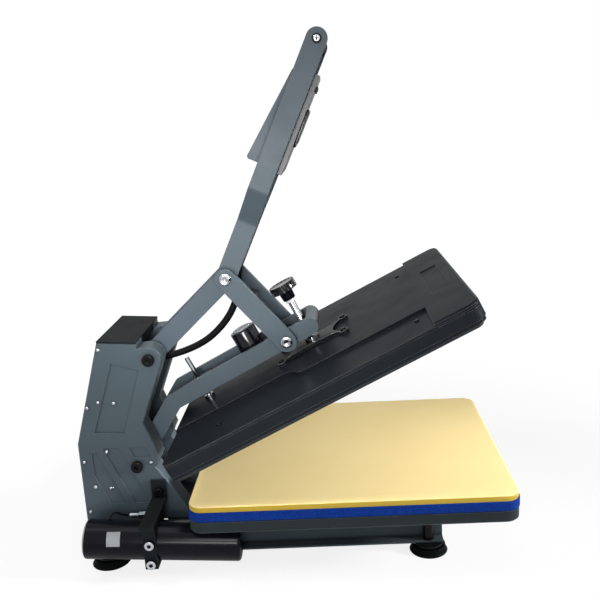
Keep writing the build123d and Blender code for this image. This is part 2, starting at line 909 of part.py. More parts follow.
def ledge_outline(side):
    """The sunk ledge along one long side of the cover, open to that side."""
    outer = side * cover_width
    neck = (ledge_rear_inner, ledge_rear_inner, ledge_front_inner, ledge_front_inner)
    with BuildLine() as outline:
        Line((cover_rear_u - cover_corner, outer), (cover_rear_u - cover_corner, side * neck[0]))
        Line((cover_rear_u - cover_corner, side * neck[0]), (ledge_neck_start, side * neck[1]))
        Spline(
            (ledge_neck_start, side * neck[1]),
            (ledge_neck_end, side * neck[2]),
            tangents=((1, 0), (1, 0)),
        )
        Line((ledge_neck_end, side * neck[2]), (ledge_front_u, side * neck[3]))
        Line((ledge_front_u, side * neck[3]), (ledge_front_u, outer))
        Line((ledge_front_u, outer), (cover_rear_u - cover_corner, outer))
    make_face(outline.edges())


def make_heater():
    height = cover_top_v - cover_bottom_v
    with BuildPart() as cover:
        with BuildSketch(heater_plan(cover_bottom_v + lip_depth)):
            cover_outline(0)
        extrude(amount=height - lip_depth)
        chamfer(cover.faces().sort_by(arm_up)[-1].edges(), cover_edge)
        with BuildSketch(heater_plan(cover_bottom_v)):
            cover_outline(lip_inset)
        extrude(amount=lip_depth)
        for side in (-1, 1):
            with BuildSketch(heater_plan(cover_top_v - ledge_drop)):
                ledge_outline(side)
            extrude(amount=ledge_drop, mode=Mode.SUBTRACT)
        with BuildSketch(heater_plan(cover_bottom_v)):
            cover_outline(heater_wall + lip_inset)
        extrude(amount=height - heater_wall - ledge_drop, mode=Mode.SUBTRACT)
        with BuildSketch(heater_plan(cover_top_v)):
            with Locations((logo_recess_u, 0)):
                Rectangle(logo_recess_length, logo_recess_width)
        extrude(amount=-logo_recess_depth, mode=Mode.SUBTRACT)
        with BuildSketch(heater_plan(cover_top_v)):
            with Locations((slot_u, slot_y), (slot_u, -slot_y)):
                Rectangle(slot_length, slot_width)
        extrude(amount=-height + lip_depth, mode=Mode.SUBTRACT)
        with BuildSketch(heater_plan(cover_top_v - ledge_drop - seam_drop)):
            cover_outline(0)
            cover_outline(seam_depth, mode=Mode.SUBTRACT)
        extrude(amount=-seam_height, mode=Mode.SUBTRACT)
    save(cover.part, "heater_cover")

    plate_length = cover_length - 2 * heating_plate_margin
    plate_width = cover_width - 2 * heating_plate_margin
    centre = (cover_rear_u + cover_length / 2, 0)
    with BuildPart() as plate:
        with BuildSketch(heater_plan(cover_bottom_v - heating_plate_drop)):
            with Locations(centre):
                RectangleRounded(plate_length, plate_width, cover_corner - heating_plate_margin)
        extrude(amount=heating_plate_thickness)
    save(plate.part, "heating_plate")

    with BuildPart() as insulation:
        with BuildSketch(heater_plan(cover_bottom_v - heating_plate_drop + heating_plate_thickness)):
            with Locations(centre):
                RectangleRounded(plate_length, plate_width, cover_corner - heating_plate_margin)
        inner_top = cover_top_v - heater_wall - ledge_drop
        extrude(amount=inner_top - (cover_bottom_v - heating_plate_drop + heating_plate_thickness))
    save(insulation.part, "insulation_board")

    with BuildPart() as screws:
        with BuildSketch(heater_plan(cover_top_v - ledge_drop)):
            with Locations(*ledge_screw_points()):
                RegularPolygon(small_screw_radius, small_sides)
        extrude(amount=small_screw_height)
        with BuildSketch(heater_plan(cover_top_v + spider_thickness)):
            with Locations(*ear_points()):
                RegularPolygon(spider_screw_radius, small_sides)
        extrude(amount=spider_screw_height)
    save(screws.part, "heater_screws")

    with BuildPart() as spider:
        with BuildSketch(heater_plan(cover_top_v)):
            spider_outline()
        extrude(amount=spider_thickness)
    save(spider.part, "spider_plate")

    with BuildPart() as rod:
        with BuildSketch(heater_plan(cover_top_v)):
            with Locations((guide_rod_u, 0)):
                RegularPolygon(guide_rod_foot_radius, round_sides)
        extrude(amount=guide_rod_foot_height)
        with BuildSketch(heater_plan(cover_top_v)):
            with Locations((guide_rod_u, 0)):
                RegularPolygon(guide_rod_radius, small_sides)
        extrude(amount=guide_rod_top_v - cover_top_v)
        chamfer(rod.faces().sort_by(arm_up)[-1].edges(), guide_rod_radius / 8)
    save(rod.part, "guide_rod")


def ledge_screw_points():
    return [(u, side * ledge_screw_y) for u in ledge_screw_u for side in (-1, 1)]


def ear_points():
    return [(screw_u + along * spider_ear_u, side * spider_ear_y) for along in (-1, 1) for side in (-1, 1)]


def spider_outline():
    """Four ears joined by sides that curve in towards the pressure screw."""
    signs = ((-1, -1), (1, -1), (1, 1), (-1, 1))
    corner = [(screw_u + su * spider_ear_u, sy * spider_ear_y) for su, sy in signs]
    with BuildLine() as outline:
        ThreePointArc(corner[0], (screw_u, -spider_waist), corner[1])
        ThreePointArc(corner[1], (screw_u + spider_end_waist, 0), corner[2])
        ThreePointArc(corner[2], (screw_u, spider_waist), corner[3])
        ThreePointArc(corner[3], (screw_u - spider_end_waist, 0), corner[0])
    make_face(outline.edges())
    with Locations(*ear_points()):
        RegularPolygon(spider_ear_radius, round_sides)


def knob_outline():
    """The rim of the knob from above: broad ribs with narrow grooves between them."""
    points = []
    for index in range(knob_ribs):
        for turn, radius in (
            (-knob_rib_share / 2, knob_radius),
            (knob_rib_share / 2, knob_radius),
            (knob_rib_share / 2 + (1 - knob_rib_share) / 4, knob_radius - knob_rib_depth),
            (1 - knob_rib_share / 2 - (1 - knob_rib_share) / 4, knob_radius - knob_rib_depth),
        ):
            angle = 2 * pi * (index + turn) / knob_ribs
            points.append((screw_u + radius * cos(angle), radius * sin(angle)))
    return points


def make_pressure_screw():
    seat_v = cover_top_v + spider_thickness
    rim_bottom = knob_top_v - knob_rim_height
    with BuildPart() as rod:
        with BuildSketch(heater_plan(seat_v)):
            with Locations((screw_u, 0)):
                RegularPolygon(swivel_radius, round_sides)
        extrude(amount=swivel_height)
        with BuildSketch(heater_plan(seat_v)):
            with Locations((screw_u, 0)):
                RegularPolygon(rod_radius, round_sides)
        extrude(amount=rim_bottom - seat_v)
    save(rod.part, "pressure_rod")

    with BuildPart() as knob:
        with BuildSketch(heater_plan(rim_bottom)):
            Polygon(*knob_outline(), align=None)
        extrude(amount=knob_rim_height)
        with BuildSketch(heater_plan(rim_bottom)):
            with Locations((screw_u, 0)):
                RegularPolygon(hub_radius, round_sides)
                RegularPolygon(rod_radius, round_sides, mode=Mode.SUBTRACT)
        extrude(amount=-hub_height)
        dish = knob_rim_height / 6
        with BuildSketch(heater_plan(knob_top_v)):
            with Locations((screw_u, 0)):
                RegularPolygon(knob_radius - knob_rim_height / 3, foot_sides)
        extrude(amount=-dish, mode=Mode.SUBTRACT)
    save(knob.part, "pressure_knob")

    with BuildPart() as collar:
        with BuildSketch(heater_plan(rim_bottom - hub_height)):
            with Locations((screw_u, 0)):
                RegularPolygon(collar_radius, round_sides)
                RegularPolygon(rod_radius, round_sides, mode=Mode.SUBTRACT)
        extrude(amount=-collar_height)
    save(collar.part, "knob_collar")


def handle_side(y):
    return side_plane(knee, handle_angle, y)


def handle_point(s, p):
    """A point of the side view, s along the handle from the knee and p towards the operator."""
    a = radians(handle_angle)
    return (knee[0] + s * cos(a) + p * sin(a), knee[1] + s * sin(a) - p * cos(a))


def make_lever():
    inner_y = arm_outer_half - arm_plate
    upper_inner = inner_y + crank_offset
    upper_outer = arm_outer_half + crank_offset
    half = lever_width / 2
    bend_shift = arm_plate * tan(atan2(crank_offset, crank_length) / 2)
    a = radians(handle_angle)
    plan = Plane(origin=(knee[0], 0, knee[1]), x_dir=(cos(a), 0, sin(a)), z_dir=(-sin(a), 0, cos(a)))
    with BuildPart() as bar:
        with BuildSketch(plan.offset(-half)) as band:
            with BuildLine():
                Polyline(
                    (-half, inner_y),
                    (crank_start, inner_y),
                    (crank_start + crank_length, upper_inner),
                    (handle_length + half, upper_inner),
                    (handle_length + half, upper_outer),
                    (crank_start + crank_length - bend_shift, upper_outer),
                    (crank_start - bend_shift, arm_outer_half),
                    (-half, arm_outer_half),
                    close=True,
                )
            make_face()
            fillet(band.vertices().filter_by(lambda v: 0 < v.X < handle_length), crank_bend_round)
        extrude(amount=lever_width)
        with BuildSketch(handle_side(upper_outer + half)):
            slot_between((0, 0), (handle_length, 0), lever_width)
        extrude(amount=2 * (upper_outer + half), mode=Mode.INTERSECT)
        with BuildSketch(side_plane((0, 0), 0, arm_outer_half)):
            slot_between(upper_pivot, knee, lever_width)
        extrude(amount=arm_plate)
        with BuildSketch(side_plane((0, 0), 0, arm_outer_half)):
            with Locations(upper_pivot):
                Circle(pivot_shaft_radius + running_clearance)
            with Locations(knee):
                RegularPolygon(knee_pin_radius, round_sides)
        extrude(amount=arm_plate, mode=Mode.SUBTRACT)
    right = bar.part
    save(right, "lever_bar_right")
    save(mirrored(right), "lever_bar_left")

    with BuildPart() as shaft:
        end_y = arm_outer_half + link_gap / 2
        sleeve = inner_y
        with BuildSketch(side_plane(knee, 0, end_y)):
            RegularPolygon(knee_pin_radius, round_sides)
        extrude(amount=2 * end_y)
        with BuildSketch(side_plane(knee, 0, sleeve)):
            RegularPolygon(knee_sleeve_radius, round_sides)
        extrude(amount=2 * sleeve)
    save(shaft.part, "knee_shaft")

    with BuildPart() as grip:
        with BuildSketch(handle_side(upper_inner)):
            with Locations((handle_length, 0)):
                RegularPolygon(grip_radius, foot_sides)
        extrude(amount=2 * upper_inner)
        chamfer(grip.faces().filter_by(Axis.Y).edges(), grip_bead)
    save(grip.part, "handle_grip")

    with BuildPart() as screws:
        for face, direction in ((-upper_outer, 1), (upper_outer, -1)):
            with BuildSketch(handle_side(face)):
                with Locations((handle_length, 0)):
                    RegularPolygon(grip_ring_radius, round_sides)
            extrude(amount=direction * grip_ring_height)
            with BuildSketch(handle_side(face)):
                with Locations((handle_length, 0)):
                    RegularPolygon(grip_screw_radius, round_sides)
            extrude(amount=direction * grip_screw_height)
    save(screws.part, "grip_screws")


def make_control_box():
    half_y = arm_outer_half - arm_plate + crank_offset
    with BuildPart() as housing:
        with BuildSketch(handle_side(half_y)) as outline:
            with BuildLine():
                Polyline(
                    (box_start, box_rear_low),
                    (box_end, box_rear_high),
                    (box_end, -box_front),
                    (box_start, -box_front),
                    close=True,
                )
            make_face()
            chamfer(outline.vertices(), box_corner)
        extrude(amount=2 * half_y)
        with BuildSketch(handle_side(half_y - box_wall)):
            with BuildLine():
                Polyline(
                    (box_start + box_wall, box_rear_low - box_wall),
                    (box_end - box_wall, box_rear_high - box_wall),
                    (box_end - box_wall, -box_front + box_wall),
                    (box_start + box_wall, -box_front + box_wall),
                    close=True,
                )
            make_face()
        extrude(amount=2 * (half_y - box_wall), mode=Mode.SUBTRACT)
        with BuildSketch(button_plane(box_front - box_wall)):
            with Locations(*button_points()):
                RegularPolygon(button_stem / 2 + button_clearance, small_sides)
        extrude(amount=box_wall, mode=Mode.SUBTRACT)
    save(housing.part, "control_housing")

    with BuildPart() as panel:
        with BuildSketch(button_plane(box_front)):
            with Locations(((panel_start + panel_end) / 2, 0)):
                Rectangle(panel_end - panel_start, 2 * half_y)
            with Locations(*button_points()):
                RegularPolygon(button_radius + button_clearance, small_sides, mode=Mode.SUBTRACT)
        extrude(amount=panel_thickness)
    save(panel.part, "control_panel")

    with BuildPart() as bezel:
        with BuildSketch(button_plane(box_front + panel_thickness)):
            with Locations(((bezel_start + bezel_end) / 2, 0)):
                Rectangle(bezel_end - bezel_start, bezel_width)
        extrude(amount=bezel_height)
        chamfer(bezel.faces().sort_by(Axis.X)[-1].edges(), bezel_height / 4)
    save(bezel.part, "display_bezel")

    for index, point in enumerate(button_points()):
        with BuildPart() as button:
            with BuildSketch(button_plane(box_front + button_travel + button_clearance)):
                with Locations(point):
                    RegularPolygon(button_radius, small_sides)
            extrude(amount=panel_thickness + button_height - button_travel - button_clearance)
            with BuildSketch(button_plane(box_front + button_travel + button_clearance)):
                with Locations(point):
                    RegularPolygon(button_stem / 2, small_sides)
            extrude(amount=-box_wall - button_travel - button_clearance)
        save(button.part, f"panel_button_{index + 1}")


def button_plane(p):
    """A plane over the panel: local x along the handle, local y across, normal to the operator."""
    a = radians(handle_angle)
    origin = handle_point(0, p)
    return Plane(origin=(origin[0], 0, origin[1]), x_dir=(cos(a), 0, sin(a)), z_dir=(sin(a), 0, -cos(a)))


def button_points():
    return [(button_at, side * button_pitch) for side in (-1, 0, 1)]


def make_front_links():
    inner_y = arm_outer_half + link_gap
    outer_y = inner_y + link_plate
    with BuildPart() as link:
        with BuildSketch(side_plane((0, 0), 0, -inner_y)):
            slot_between(knee, front_pivot, link_width)
            with Locations(knee):
                RegularPolygon(knee_pin_radius, round_sides, mode=Mode.SUBTRACT)
            with Locations(front_pivot):
                Circle(knee_pin_radius + running_clearance, mode=Mode.SUBTRACT)
        extrude(amount=link_plate)
    save_pair(link.part, "front_link")

    with BuildPart() as pins:
        for side in (-1, 1):
            far_end = max(side * inner_y, side * (outer_y + pin_overhang))
            with BuildSketch(side_plane(knee, 0, far_end)):
                RegularPolygon(knee_pin_radius, round_sides)
            extrude(amount=link_plate + pin_overhang)
            clip_far = max(side * outer_y, side * (outer_y + clip_thickness))
            with BuildSketch(side_plane(knee, 0, clip_far)):
                RegularPolygon(clip_radius, round_sides)
            extrude(amount=clip_thickness)
    save(pins.part, "knee_pins")

    # The armature lies flat over the magnet when the arm is down, so it is placed in that pose first
    pole_shut = (lower_pivot[0] + magnet_u, lower_pivot[1] + magnet_top_v)
    bar_place = turned_back(pole_shut, magnet_air_gap + strike_thickness + strike_bar_thickness / 2)
    with BuildPart() as strike:
        with BuildSketch(side_plane(bar_place, -link_turn, inner_y)):
            Rectangle(strike_bar_width, strike_bar_thickness)
        extrude(amount=2 * inner_y)
        disc = turned_back(pole_shut, magnet_air_gap)
        a = radians(-link_turn)
        along, normal = (cos(a), 0, sin(a)), (-sin(a), 0, cos(a))
        disc_plane = Plane(origin=(disc[0], 0, disc[1]), x_dir=along, z_dir=normal)
        with BuildSketch(disc_plane):
            RegularPolygon(strike_radius, round_sides)
        extrude(amount=strike_thickness)
    save(strike.part, "strike_plate")


def turned_back(point, lift):
    """Where a point of the links lies at rest, from its place with the arm down and a lift."""
    raised = (point[0], point[1] + lift)
    from_pin = turned((raised[0] - front_pivot_shut[0], raised[1] - front_pivot_shut[1]), (0, 0), -link_turn)
    return (front_pivot[0] + from_pin[0], front_pivot[1] + from_pin[1])


tube_dir = Vector(cos(radians(tube_tilt)), 0, -sin(radians(tube_tilt)))
tube_up = Vector(sin(radians(tube_tilt)), 0, cos(radians(tube_tilt)))
clamp_middle = Vector(pad_rear - clamp_rear_reach + clamp_width / 2, -tube_line_y, pad_top - tube_drop)


def tube_plane(x):
    """A plane square to the canister, whose axis dips forwards through the middle of the clamp."""
    along = (x - clamp_middle.X) / tube_dir.X
    return Plane(origin=clamp_middle + tube_dir * along, x_dir=(0, 1, 0), z_dir=tube_dir)


def make_canister():
    rear_x = pad_rear - tube_rear_reach
    front_x = pad_rear + tube_front_at
    length = (front_x - rear_x) / tube_dir.X
    with BuildPart() as tube:
        with BuildSketch(tube_plane(rear_x).offset(tube_cap_length)):
            RegularPolygon(tube_radius, tube_sides)
            RegularPolygon(tube_radius - tube_wall, tube_sides, mode=Mode.SUBTRACT)
        extrude(amount=length - 2 * tube_cap_length)
    save(tube.part, "canister_tube")
    tube_axis = Axis((0, 0, 0), tuple(tube_dir))
    with BuildPart() as caps:
        for start in (0, length - tube_cap_length):
            with BuildSketch(tube_plane(rear_x).offset(start)):
                RegularPolygon(tube_radius, tube_sides)
            extrude(amount=tube_cap_length)
        chamfer(caps.faces().sort_by(tube_axis)[0].edges(), tube_wall)
        chamfer(caps.faces().sort_by(tube_axis)[-1].edges(), tube_wall)
    save(caps.part, "canister_caps")

    clamp_x = pad_rear - clamp_rear_reach
    top_z = pad_top - clamp_drop_top
    bottom_z = pad_top - clamp_drop_bottom
    jaw_width = clamp_depth_half - clamp_split / 2
    for name, side in (("clamp_jaw_outer", -1), ("clamp_jaw_inner", 1)):
        with BuildPart() as jaw:
            with BuildSketch(Plane.YZ.offset(clamp_x)):
                with Locations((-tube_line_y + side * (clamp_split + jaw_width) / 2, (top_z + bottom_z) / 2)):
                    Rectangle(jaw_width, top_z - bottom_z)
            extrude(amount=clamp_width)
            with BuildSketch(tube_plane(clamp_x - clamp_width)):
                RegularPolygon(tube_radius, tube_sides)
            extrude(amount=3 * clamp_width, mode=Mode.SUBTRACT)
        save(jaw.part, name)

    # The strap is one bent plate: down the column's side and out over the clamp
    wall_y = -column_half_width
    strap_x = pad_rear - strap_rear_reach
    with BuildPart() as strap:
        with BuildSketch(Plane.YZ.offset(strap_x)):
            with BuildLine():
                Polyline(
                    (wall_y, pad_top + strap_top),
                    (wall_y - strap_thickness, pad_top + strap_top),
                    (wall_y - strap_thickness, top_z + strap_thickness),
                    (-tube_line_y - clamp_depth_half, top_z + strap_thickness),
                    (-tube_line_y - clamp_depth_half, top_z),
                    (wall_y, top_z),
                    close=True,
                )
            make_face()
        extrude(amount=strap_width)
        with BuildSketch(Plane.YZ.offset(strap_x)):
            with Locations((-sensor_line_y, pad_top + (sensor_height - nut_radius - clamp_drop_top) / 2)):
                Rectangle(2 * nut_radius, nut_radius - sensor_height - clamp_drop_top)
        extrude(amount=strap_thickness * 2)
        with BuildSketch(Plane.YZ.offset(strap_x)):
            with Locations((-sensor_line_y, pad_top + sensor_height)):
                RegularPolygon(sensor_radius / 2, small_sides)
        extrude(amount=strap_thickness * 2, mode=Mode.SUBTRACT)
    save(strap.part, "hanger_strap")

    with BuildPart() as screws:
        screw_x = strap_x + strap_width / 2
        with BuildSketch(side_plane((screw_x, pad_top + strap_screw_height), 0, wall_y - strap_thickness)):
            RegularPolygon(clamp_screw_radius, round_sides)
        extrude(amount=clamp_screw_height)
        outer_face = -tube_line_y - clamp_depth_half
        for drop in clamp_screw_drops:
            with BuildSketch(side_plane((clamp_x + clamp_width / 2, pad_top - drop), 0, outer_face)):
                RegularPolygon(clamp_screw_radius, round_sides)
                RegularPolygon(hex_socket_across / 2, 6, major_radius=False, mode=Mode.SUBTRACT)
            extrude(amount=clamp_screw_height)
    save(screws.part, "clamp_screws")

    sensor_y = -sensor_line_y
    sensor_z = pad_top + sensor_height
    with BuildPart() as sensor:
        with BuildSketch(Plane.YZ.offset(strap_x + strap_thickness * 2)):
            with Locations((sensor_y, sensor_z)):
                RegularPolygon(sensor_radius / 2, small_sides)
        extrude(amount=-strap_thickness * 2 - nut_length - barrel_gap - barrel_length)
        with BuildSketch(Plane.YZ.offset(strap_x)):
            with Locations((sensor_y, sensor_z)):
                RegularPolygon(nut_radius, 6)
        extrude(amount=-nut_length)
        with BuildSketch(Plane.YZ.offset(strap_x - nut_length - barrel_gap)):
            with Locations((sensor_y, sensor_z)):
                RegularPolygon(sensor_radius, round_sides)
        extrude(amount=-barrel_length)
    save(sensor.part, "sensor_plug")
    lead_start = Vector(strap_x - nut_length - barrel_gap - barrel_length, sensor_y, sensor_z)
    return lead_start


def arc_radii(points):
    """For each inner corner, the largest arc that its two runs allow."""
    radii = []
    for before, here, after in zip(points, points[1:], points[2:]):
        first, second = here - before, after - here
        shorter = min(first.length, second.length)
        radii.append(0.45 * shorter / tan(radians(first.get_angle(second)) / 2))
    return radii


def tube_along(points, radius, sides):
    radii = arc_radii(points)
    with BuildPart() as part:
        with BuildLine() as path:
            FilletPolyline(*points, radius=radii)
        route = path.wire()
        with BuildSketch(Plane(origin=route @ 0, z_dir=route % 0)) as section:
            RegularPolygon(radius, sides)
        sweep(path=route)
    area = section.sketch.area
    print("tube", round(route.length, 1), "mm, radii", [round(r, 1) for r in radii])
    print("tube volume", round(part.part.volume), "section times length", round(area * route.length))
    return part.part


def make_lead(start):
    """The thin lead leaves the plug backwards and bends over onto the top of the canister."""
    meet, lean = radians(lead_meet), radians(lead_lean)
    centre = tube_plane(start.X - lead_end_back).origin
    end = centre + Vector(0, cos(meet), sin(meet)) * (tube_radius + lead_radius)
    over = end + Vector(0, cos(lean), sin(lean)) * lead_last_run
    points = [start, start - Vector(lead_straight, 0, 0), over, end]
    save(tube_along(points, lead_radius, lead_sides), "sensor_lead")


def hose_end_plane(lift):
    """Where the hose enters the rear corner of the control box, looking up along the handle."""
    middle = handle_point(box_start - lift, -box_front / 3)
    a = radians(handle_angle)
    return Plane(origin=(middle[0], hose_end_y, middle[1]), x_dir=(0, 1, 0), z_dir=(cos(a), 0, sin(a)))


def make_hose():
    """The hose leaves the column, loops under the rear link and runs up to the control box."""
    end_plane = hose_end_plane(0)
    up = end_plane.z_dir
    end = end_plane.origin
    pivot = Vector(upper_pivot[0], hose_line_y, upper_pivot[1])
    points = [
        pivot + Vector(-hose_start_behind, 0, -hose_start_drop),
        pivot + Vector(hose_low_reach, 0, -hose_low_drop),
        pivot + Vector(hose_bow_reach, 0, hose_bow_rise),
        pivot + Vector(hose_top_reach, 0, hose_top_rise),
        end - up * hose_run_in,
        end,
    ]
    save(tube_along(points, hose_radius, hose_sides), "cable_hose")
    with BuildPart() as gland:
        with BuildSketch(hose_end_plane(gland_length)):
            Circle(gland_radius)
            Circle(hose_radius + side_clearance, mode=Mode.SUBTRACT)
        extrude(amount=gland_length)
    save(gland.part, "hose_gland")


make_feet()
make_base_frame()
make_platen_supports()
make_slab("lower_platen", platen_bottom, platen_thickness, silicone_overhang / 2, platen_edge_round, True)
make_slab("silicone_pad", platen_top, silicone_thickness, silicone_overhang, platen_edge_round, False)
make_slab("felt_pad", felt_bottom, felt_thickness, 0.0, felt_edge_round, False)
make_column()
make_inlet()
make_pivots()
make_arm()
make_heater()
make_pressure_screw()
make_lever()
make_control_box()
make_front_links()
make_lead(make_canister())
make_hose()
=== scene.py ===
# %% [markdown]
# # A flat heat press
# The solids of this press come from its CAD model and already stand where they belong.
# This notebook gives them their finishes, and models what a solid can't show: the pads, the hose, the ribbed
# knob and the heads of the screws.
# Lengths are in metres, or in millimetres for the functions that say so. +X points to the
# operator, +Z up, and the camera looks along +Y.

# %% Load the frame
import json
import math

import bmesh
import bpy
from mathutils import Matrix, Vector


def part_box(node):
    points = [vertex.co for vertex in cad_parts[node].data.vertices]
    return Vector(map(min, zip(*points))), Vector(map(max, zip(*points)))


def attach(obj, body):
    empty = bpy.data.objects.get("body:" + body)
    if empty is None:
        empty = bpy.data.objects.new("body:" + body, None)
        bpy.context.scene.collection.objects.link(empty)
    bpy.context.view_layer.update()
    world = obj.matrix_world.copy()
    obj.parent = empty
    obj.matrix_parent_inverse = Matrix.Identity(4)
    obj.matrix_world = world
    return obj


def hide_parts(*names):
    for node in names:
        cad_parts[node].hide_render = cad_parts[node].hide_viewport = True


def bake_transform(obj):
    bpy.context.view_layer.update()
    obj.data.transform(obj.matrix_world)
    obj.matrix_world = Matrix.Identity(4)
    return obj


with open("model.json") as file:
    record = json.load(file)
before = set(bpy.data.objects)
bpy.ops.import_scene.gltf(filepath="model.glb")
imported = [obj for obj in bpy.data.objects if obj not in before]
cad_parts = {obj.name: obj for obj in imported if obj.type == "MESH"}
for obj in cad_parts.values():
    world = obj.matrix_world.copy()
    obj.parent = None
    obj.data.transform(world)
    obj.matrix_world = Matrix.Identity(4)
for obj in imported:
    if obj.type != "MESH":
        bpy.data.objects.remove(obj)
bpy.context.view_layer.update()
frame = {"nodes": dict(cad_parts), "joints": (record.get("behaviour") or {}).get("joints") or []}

mm = 0.001

# %% [markdown]
# ## Places to measure from
# The pad's rear edge and its top are where the model is measured from, and the heater's
# own upward direction is the axis of the joint that lifts it. Reading both from the frame
# keeps each new piece on what carries it.

# %% Find the reference places
pad_low, pad_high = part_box("felt_pad")
lift_joint = next(joint for joint in frame["joints"] if joint["name"] == "pressure_lift")
heater_up = Vector(lift_joint["axis"]).normalized()
left = Vector((0, -1, 0))
up = Vector((0, 0, 1))


def pad_point(x, y, z):
    """A point given in millimetres from the pad's rear edge, the middle and the pad's top."""
    return Vector((pad_low.x + x * mm, y * mm, pad_high.z + z * mm))


def solids_of(node):
    """The corner points of each separate solid in a CAD node."""
    mesh = bmesh.new()
    mesh.from_mesh(frame["nodes"][node].data)
    bmesh.ops.remove_doubles(mesh, verts=mesh.verts, dist=1e-6)
    found, met = [], set()
    for first in mesh.verts:
        if first in met:
            continue
        met.add(first)
        solid = [first]
        for vertex in solid:  # the list grows while it is gone through
            for edge in vertex.link_edges:
                other = edge.other_vert(vertex)
                if other not in met:
                    met.add(other)
                    solid.append(other)
        found.append([v.co.copy() for v in solid])
    mesh.free()
    return found


def end_of(points, axis):
    """The middle of the end face that looks along an axis."""
    reach = max(p.dot(axis) for p in points)
    face = [p for p in points if p.dot(axis) > reach - 0.01 * mm]
    return sum(face, Vector()) / len(face)


def foot_and_length(node, axis):
    """Where the only solid of a CAD node starts along an axis, and its length in millimetres."""
    points = solids_of(node)[0]
    reaches = [p.dot(axis) for p in points]
    return end_of(points, -axis), (max(reaches) - min(reaches)) / mm


print("pad top at", round(pad_high.z, 4))
print("heater tilted by", round(math.degrees(math.acos(heater_up.z)), 2))

# %% [markdown]
# ## Helpers for modelling
# Blender's operators act on what is selected, so each step starts by clearing the
# selection. A finished piece has its place in its mesh, and its object at the origin.

# %% Selection and placing


def clear_selection():
    if bpy.context.object and bpy.context.object.mode != "OBJECT":
        bpy.ops.object.mode_set(mode="OBJECT")
    bpy.ops.object.select_all(action="DESELECT")


def only(piece):
    clear_selection()
    piece.select_set(True)
    bpy.context.view_layer.objects.active = piece


def settle(piece):
    """Put the piece's place, turn and size into its mesh."""
    only(piece)
    bpy.ops.object.transform_apply(location=True, rotation=True, scale=True)
    return piece


def select_faces(piece, choose):
    """Leave exactly the chosen faces selected, in edit mode."""
    only(piece)
    bpy.ops.object.mode_set(mode="EDIT")
    bpy.ops.mesh.select_mode(type="FACE")
    bpy.ops.mesh.select_all(action="DESELECT")
    bpy.ops.object.mode_set(mode="OBJECT")
    chosen = 0
    for face in piece.data.polygons:
        face.select = bool(choose(face))
        chosen += face.select
    bpy.ops.object.mode_set(mode="EDIT")
    return chosen


def select_edges(piece, choose):
    """Leave exactly the chosen edges selected, in edit mode. choose gets the edge's two ends."""
    only(piece)
    bpy.ops.object.mode_set(mode="EDIT")
    bpy.ops.mesh.select_mode(type="EDGE")
    bpy.ops.mesh.select_all(action="DESELECT")
    bpy.ops.object.mode_set(mode="OBJECT")
    chosen = 0
    for edge in piece.data.edges:
        a, b = (piece.data.vertices[i].co for i in edge.vertices)
        edge.select = bool(choose(a, b))
        chosen += edge.select
    bpy.ops.object.mode_set(mode="EDIT")
    return chosen


def leave_edit():
    bpy.ops.object.mode_set(mode="OBJECT")


def face_outwards():
    """Turn every face of the piece outwards, and leave edit mode."""
    bpy.ops.mesh.select_all(action="SELECT")
    bpy.ops.mesh.normals_make_consistent(inside=False)
    leave_edit()


def apply_modifiers(piece):
    only(piece)
    for modifier in list(piece.modifiers):
        bpy.ops.object.modifier_apply(modifier=modifier.name)


def stand(piece, place, axis):
    """Turn a piece modelled along +Z so that it stands at a place along an axis."""
    piece.matrix_world = Matrix.Translation(place) @ axis.to_track_quat("Z", "Y").to_matrix().to_4x4()
    return settle(piece)


def copies_at(model, name, spots):
    """Copies of a modelled piece, each with its own mesh, joined into one piece. The model goes."""
    made = []
    for place, axis in spots:
        twin = model.copy()
        twin.data = model.data.copy()
        bpy.context.collection.objects.link(twin)
        stand(twin, place, axis)
        made.append(twin)
    bpy.data.objects.remove(model)
    only(made[0])
    for twin in made[1:]:
        twin.select_set(True)
    if len(made) > 1:
        bpy.ops.object.join()
    made[0].name = name
    print(name, len(made), "copies,", len(made[0].data.polygons), "faces")
    return made[0]


def smooth(piece, angle=35):
    only(piece)
    bpy.ops.object.shade_smooth_by_angle(angle=math.radians(angle))
    return piece


def round_over(piece, width, segments=3, angle=30):
    """Round every edge that is sharper than an angle."""
    bevel = piece.modifiers.new("rounded", "BEVEL")
    bevel.width = width
    bevel.segments = segments
    bevel.limit_method = "ANGLE"
    bevel.angle_limit = math.radians(angle)
    apply_modifiers(piece)
    return piece


# %% [markdown]
# Many pieces of a press are turned: pins, rods, caps, discs. They are all made alike. A
# filled circle is extruded upwards step by step, and each new ring is scaled to the
# radius that the piece has at that height, as a lathe tool would follow the outline.

# %% Turning a piece


def turned(name, outline, sides=48):
    """A turned piece along +Z. The outline lists (height, radius) in millimetres, from its start on."""
    clear_selection()
    height, radius = outline[0]
    bpy.ops.mesh.primitive_circle_add(
        vertices=sides, radius=radius * mm, fill_type="NGON", location=(0, 0, height * mm)
    )
    piece = bpy.context.object
    piece.name = name
    settle(piece)
    only(piece)
    bpy.ops.object.mode_set(mode="EDIT")
    bpy.ops.mesh.select_all(action="SELECT")
    for next_height, next_radius in outline[1:]:
        rise = (0, 0, (next_height - height) * mm)
        bpy.ops.mesh.extrude_region_move(TRANSFORM_OT_translate={"value": rise})
        size = next_radius / radius
        bpy.ops.transform.resize(value=(size, size, 1), center_override=(0, 0, next_height * mm))
        height, radius = next_height, next_radius
    face_outwards()
    return smooth(piece, 40)


def dress(piece, finish, slot, body, *nodes):
    """Give a new piece its finish, hang it on the empty of the body that it rides on, and hide the CAD nodes
    that it stands for.
    """
    piece.data.materials.clear()
    piece.data.materials.append(finish)
    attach(piece, body)
    if nodes:
        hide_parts(*nodes)
    print(piece.name, len(piece.data.polygons), "faces on", body)
    return piece


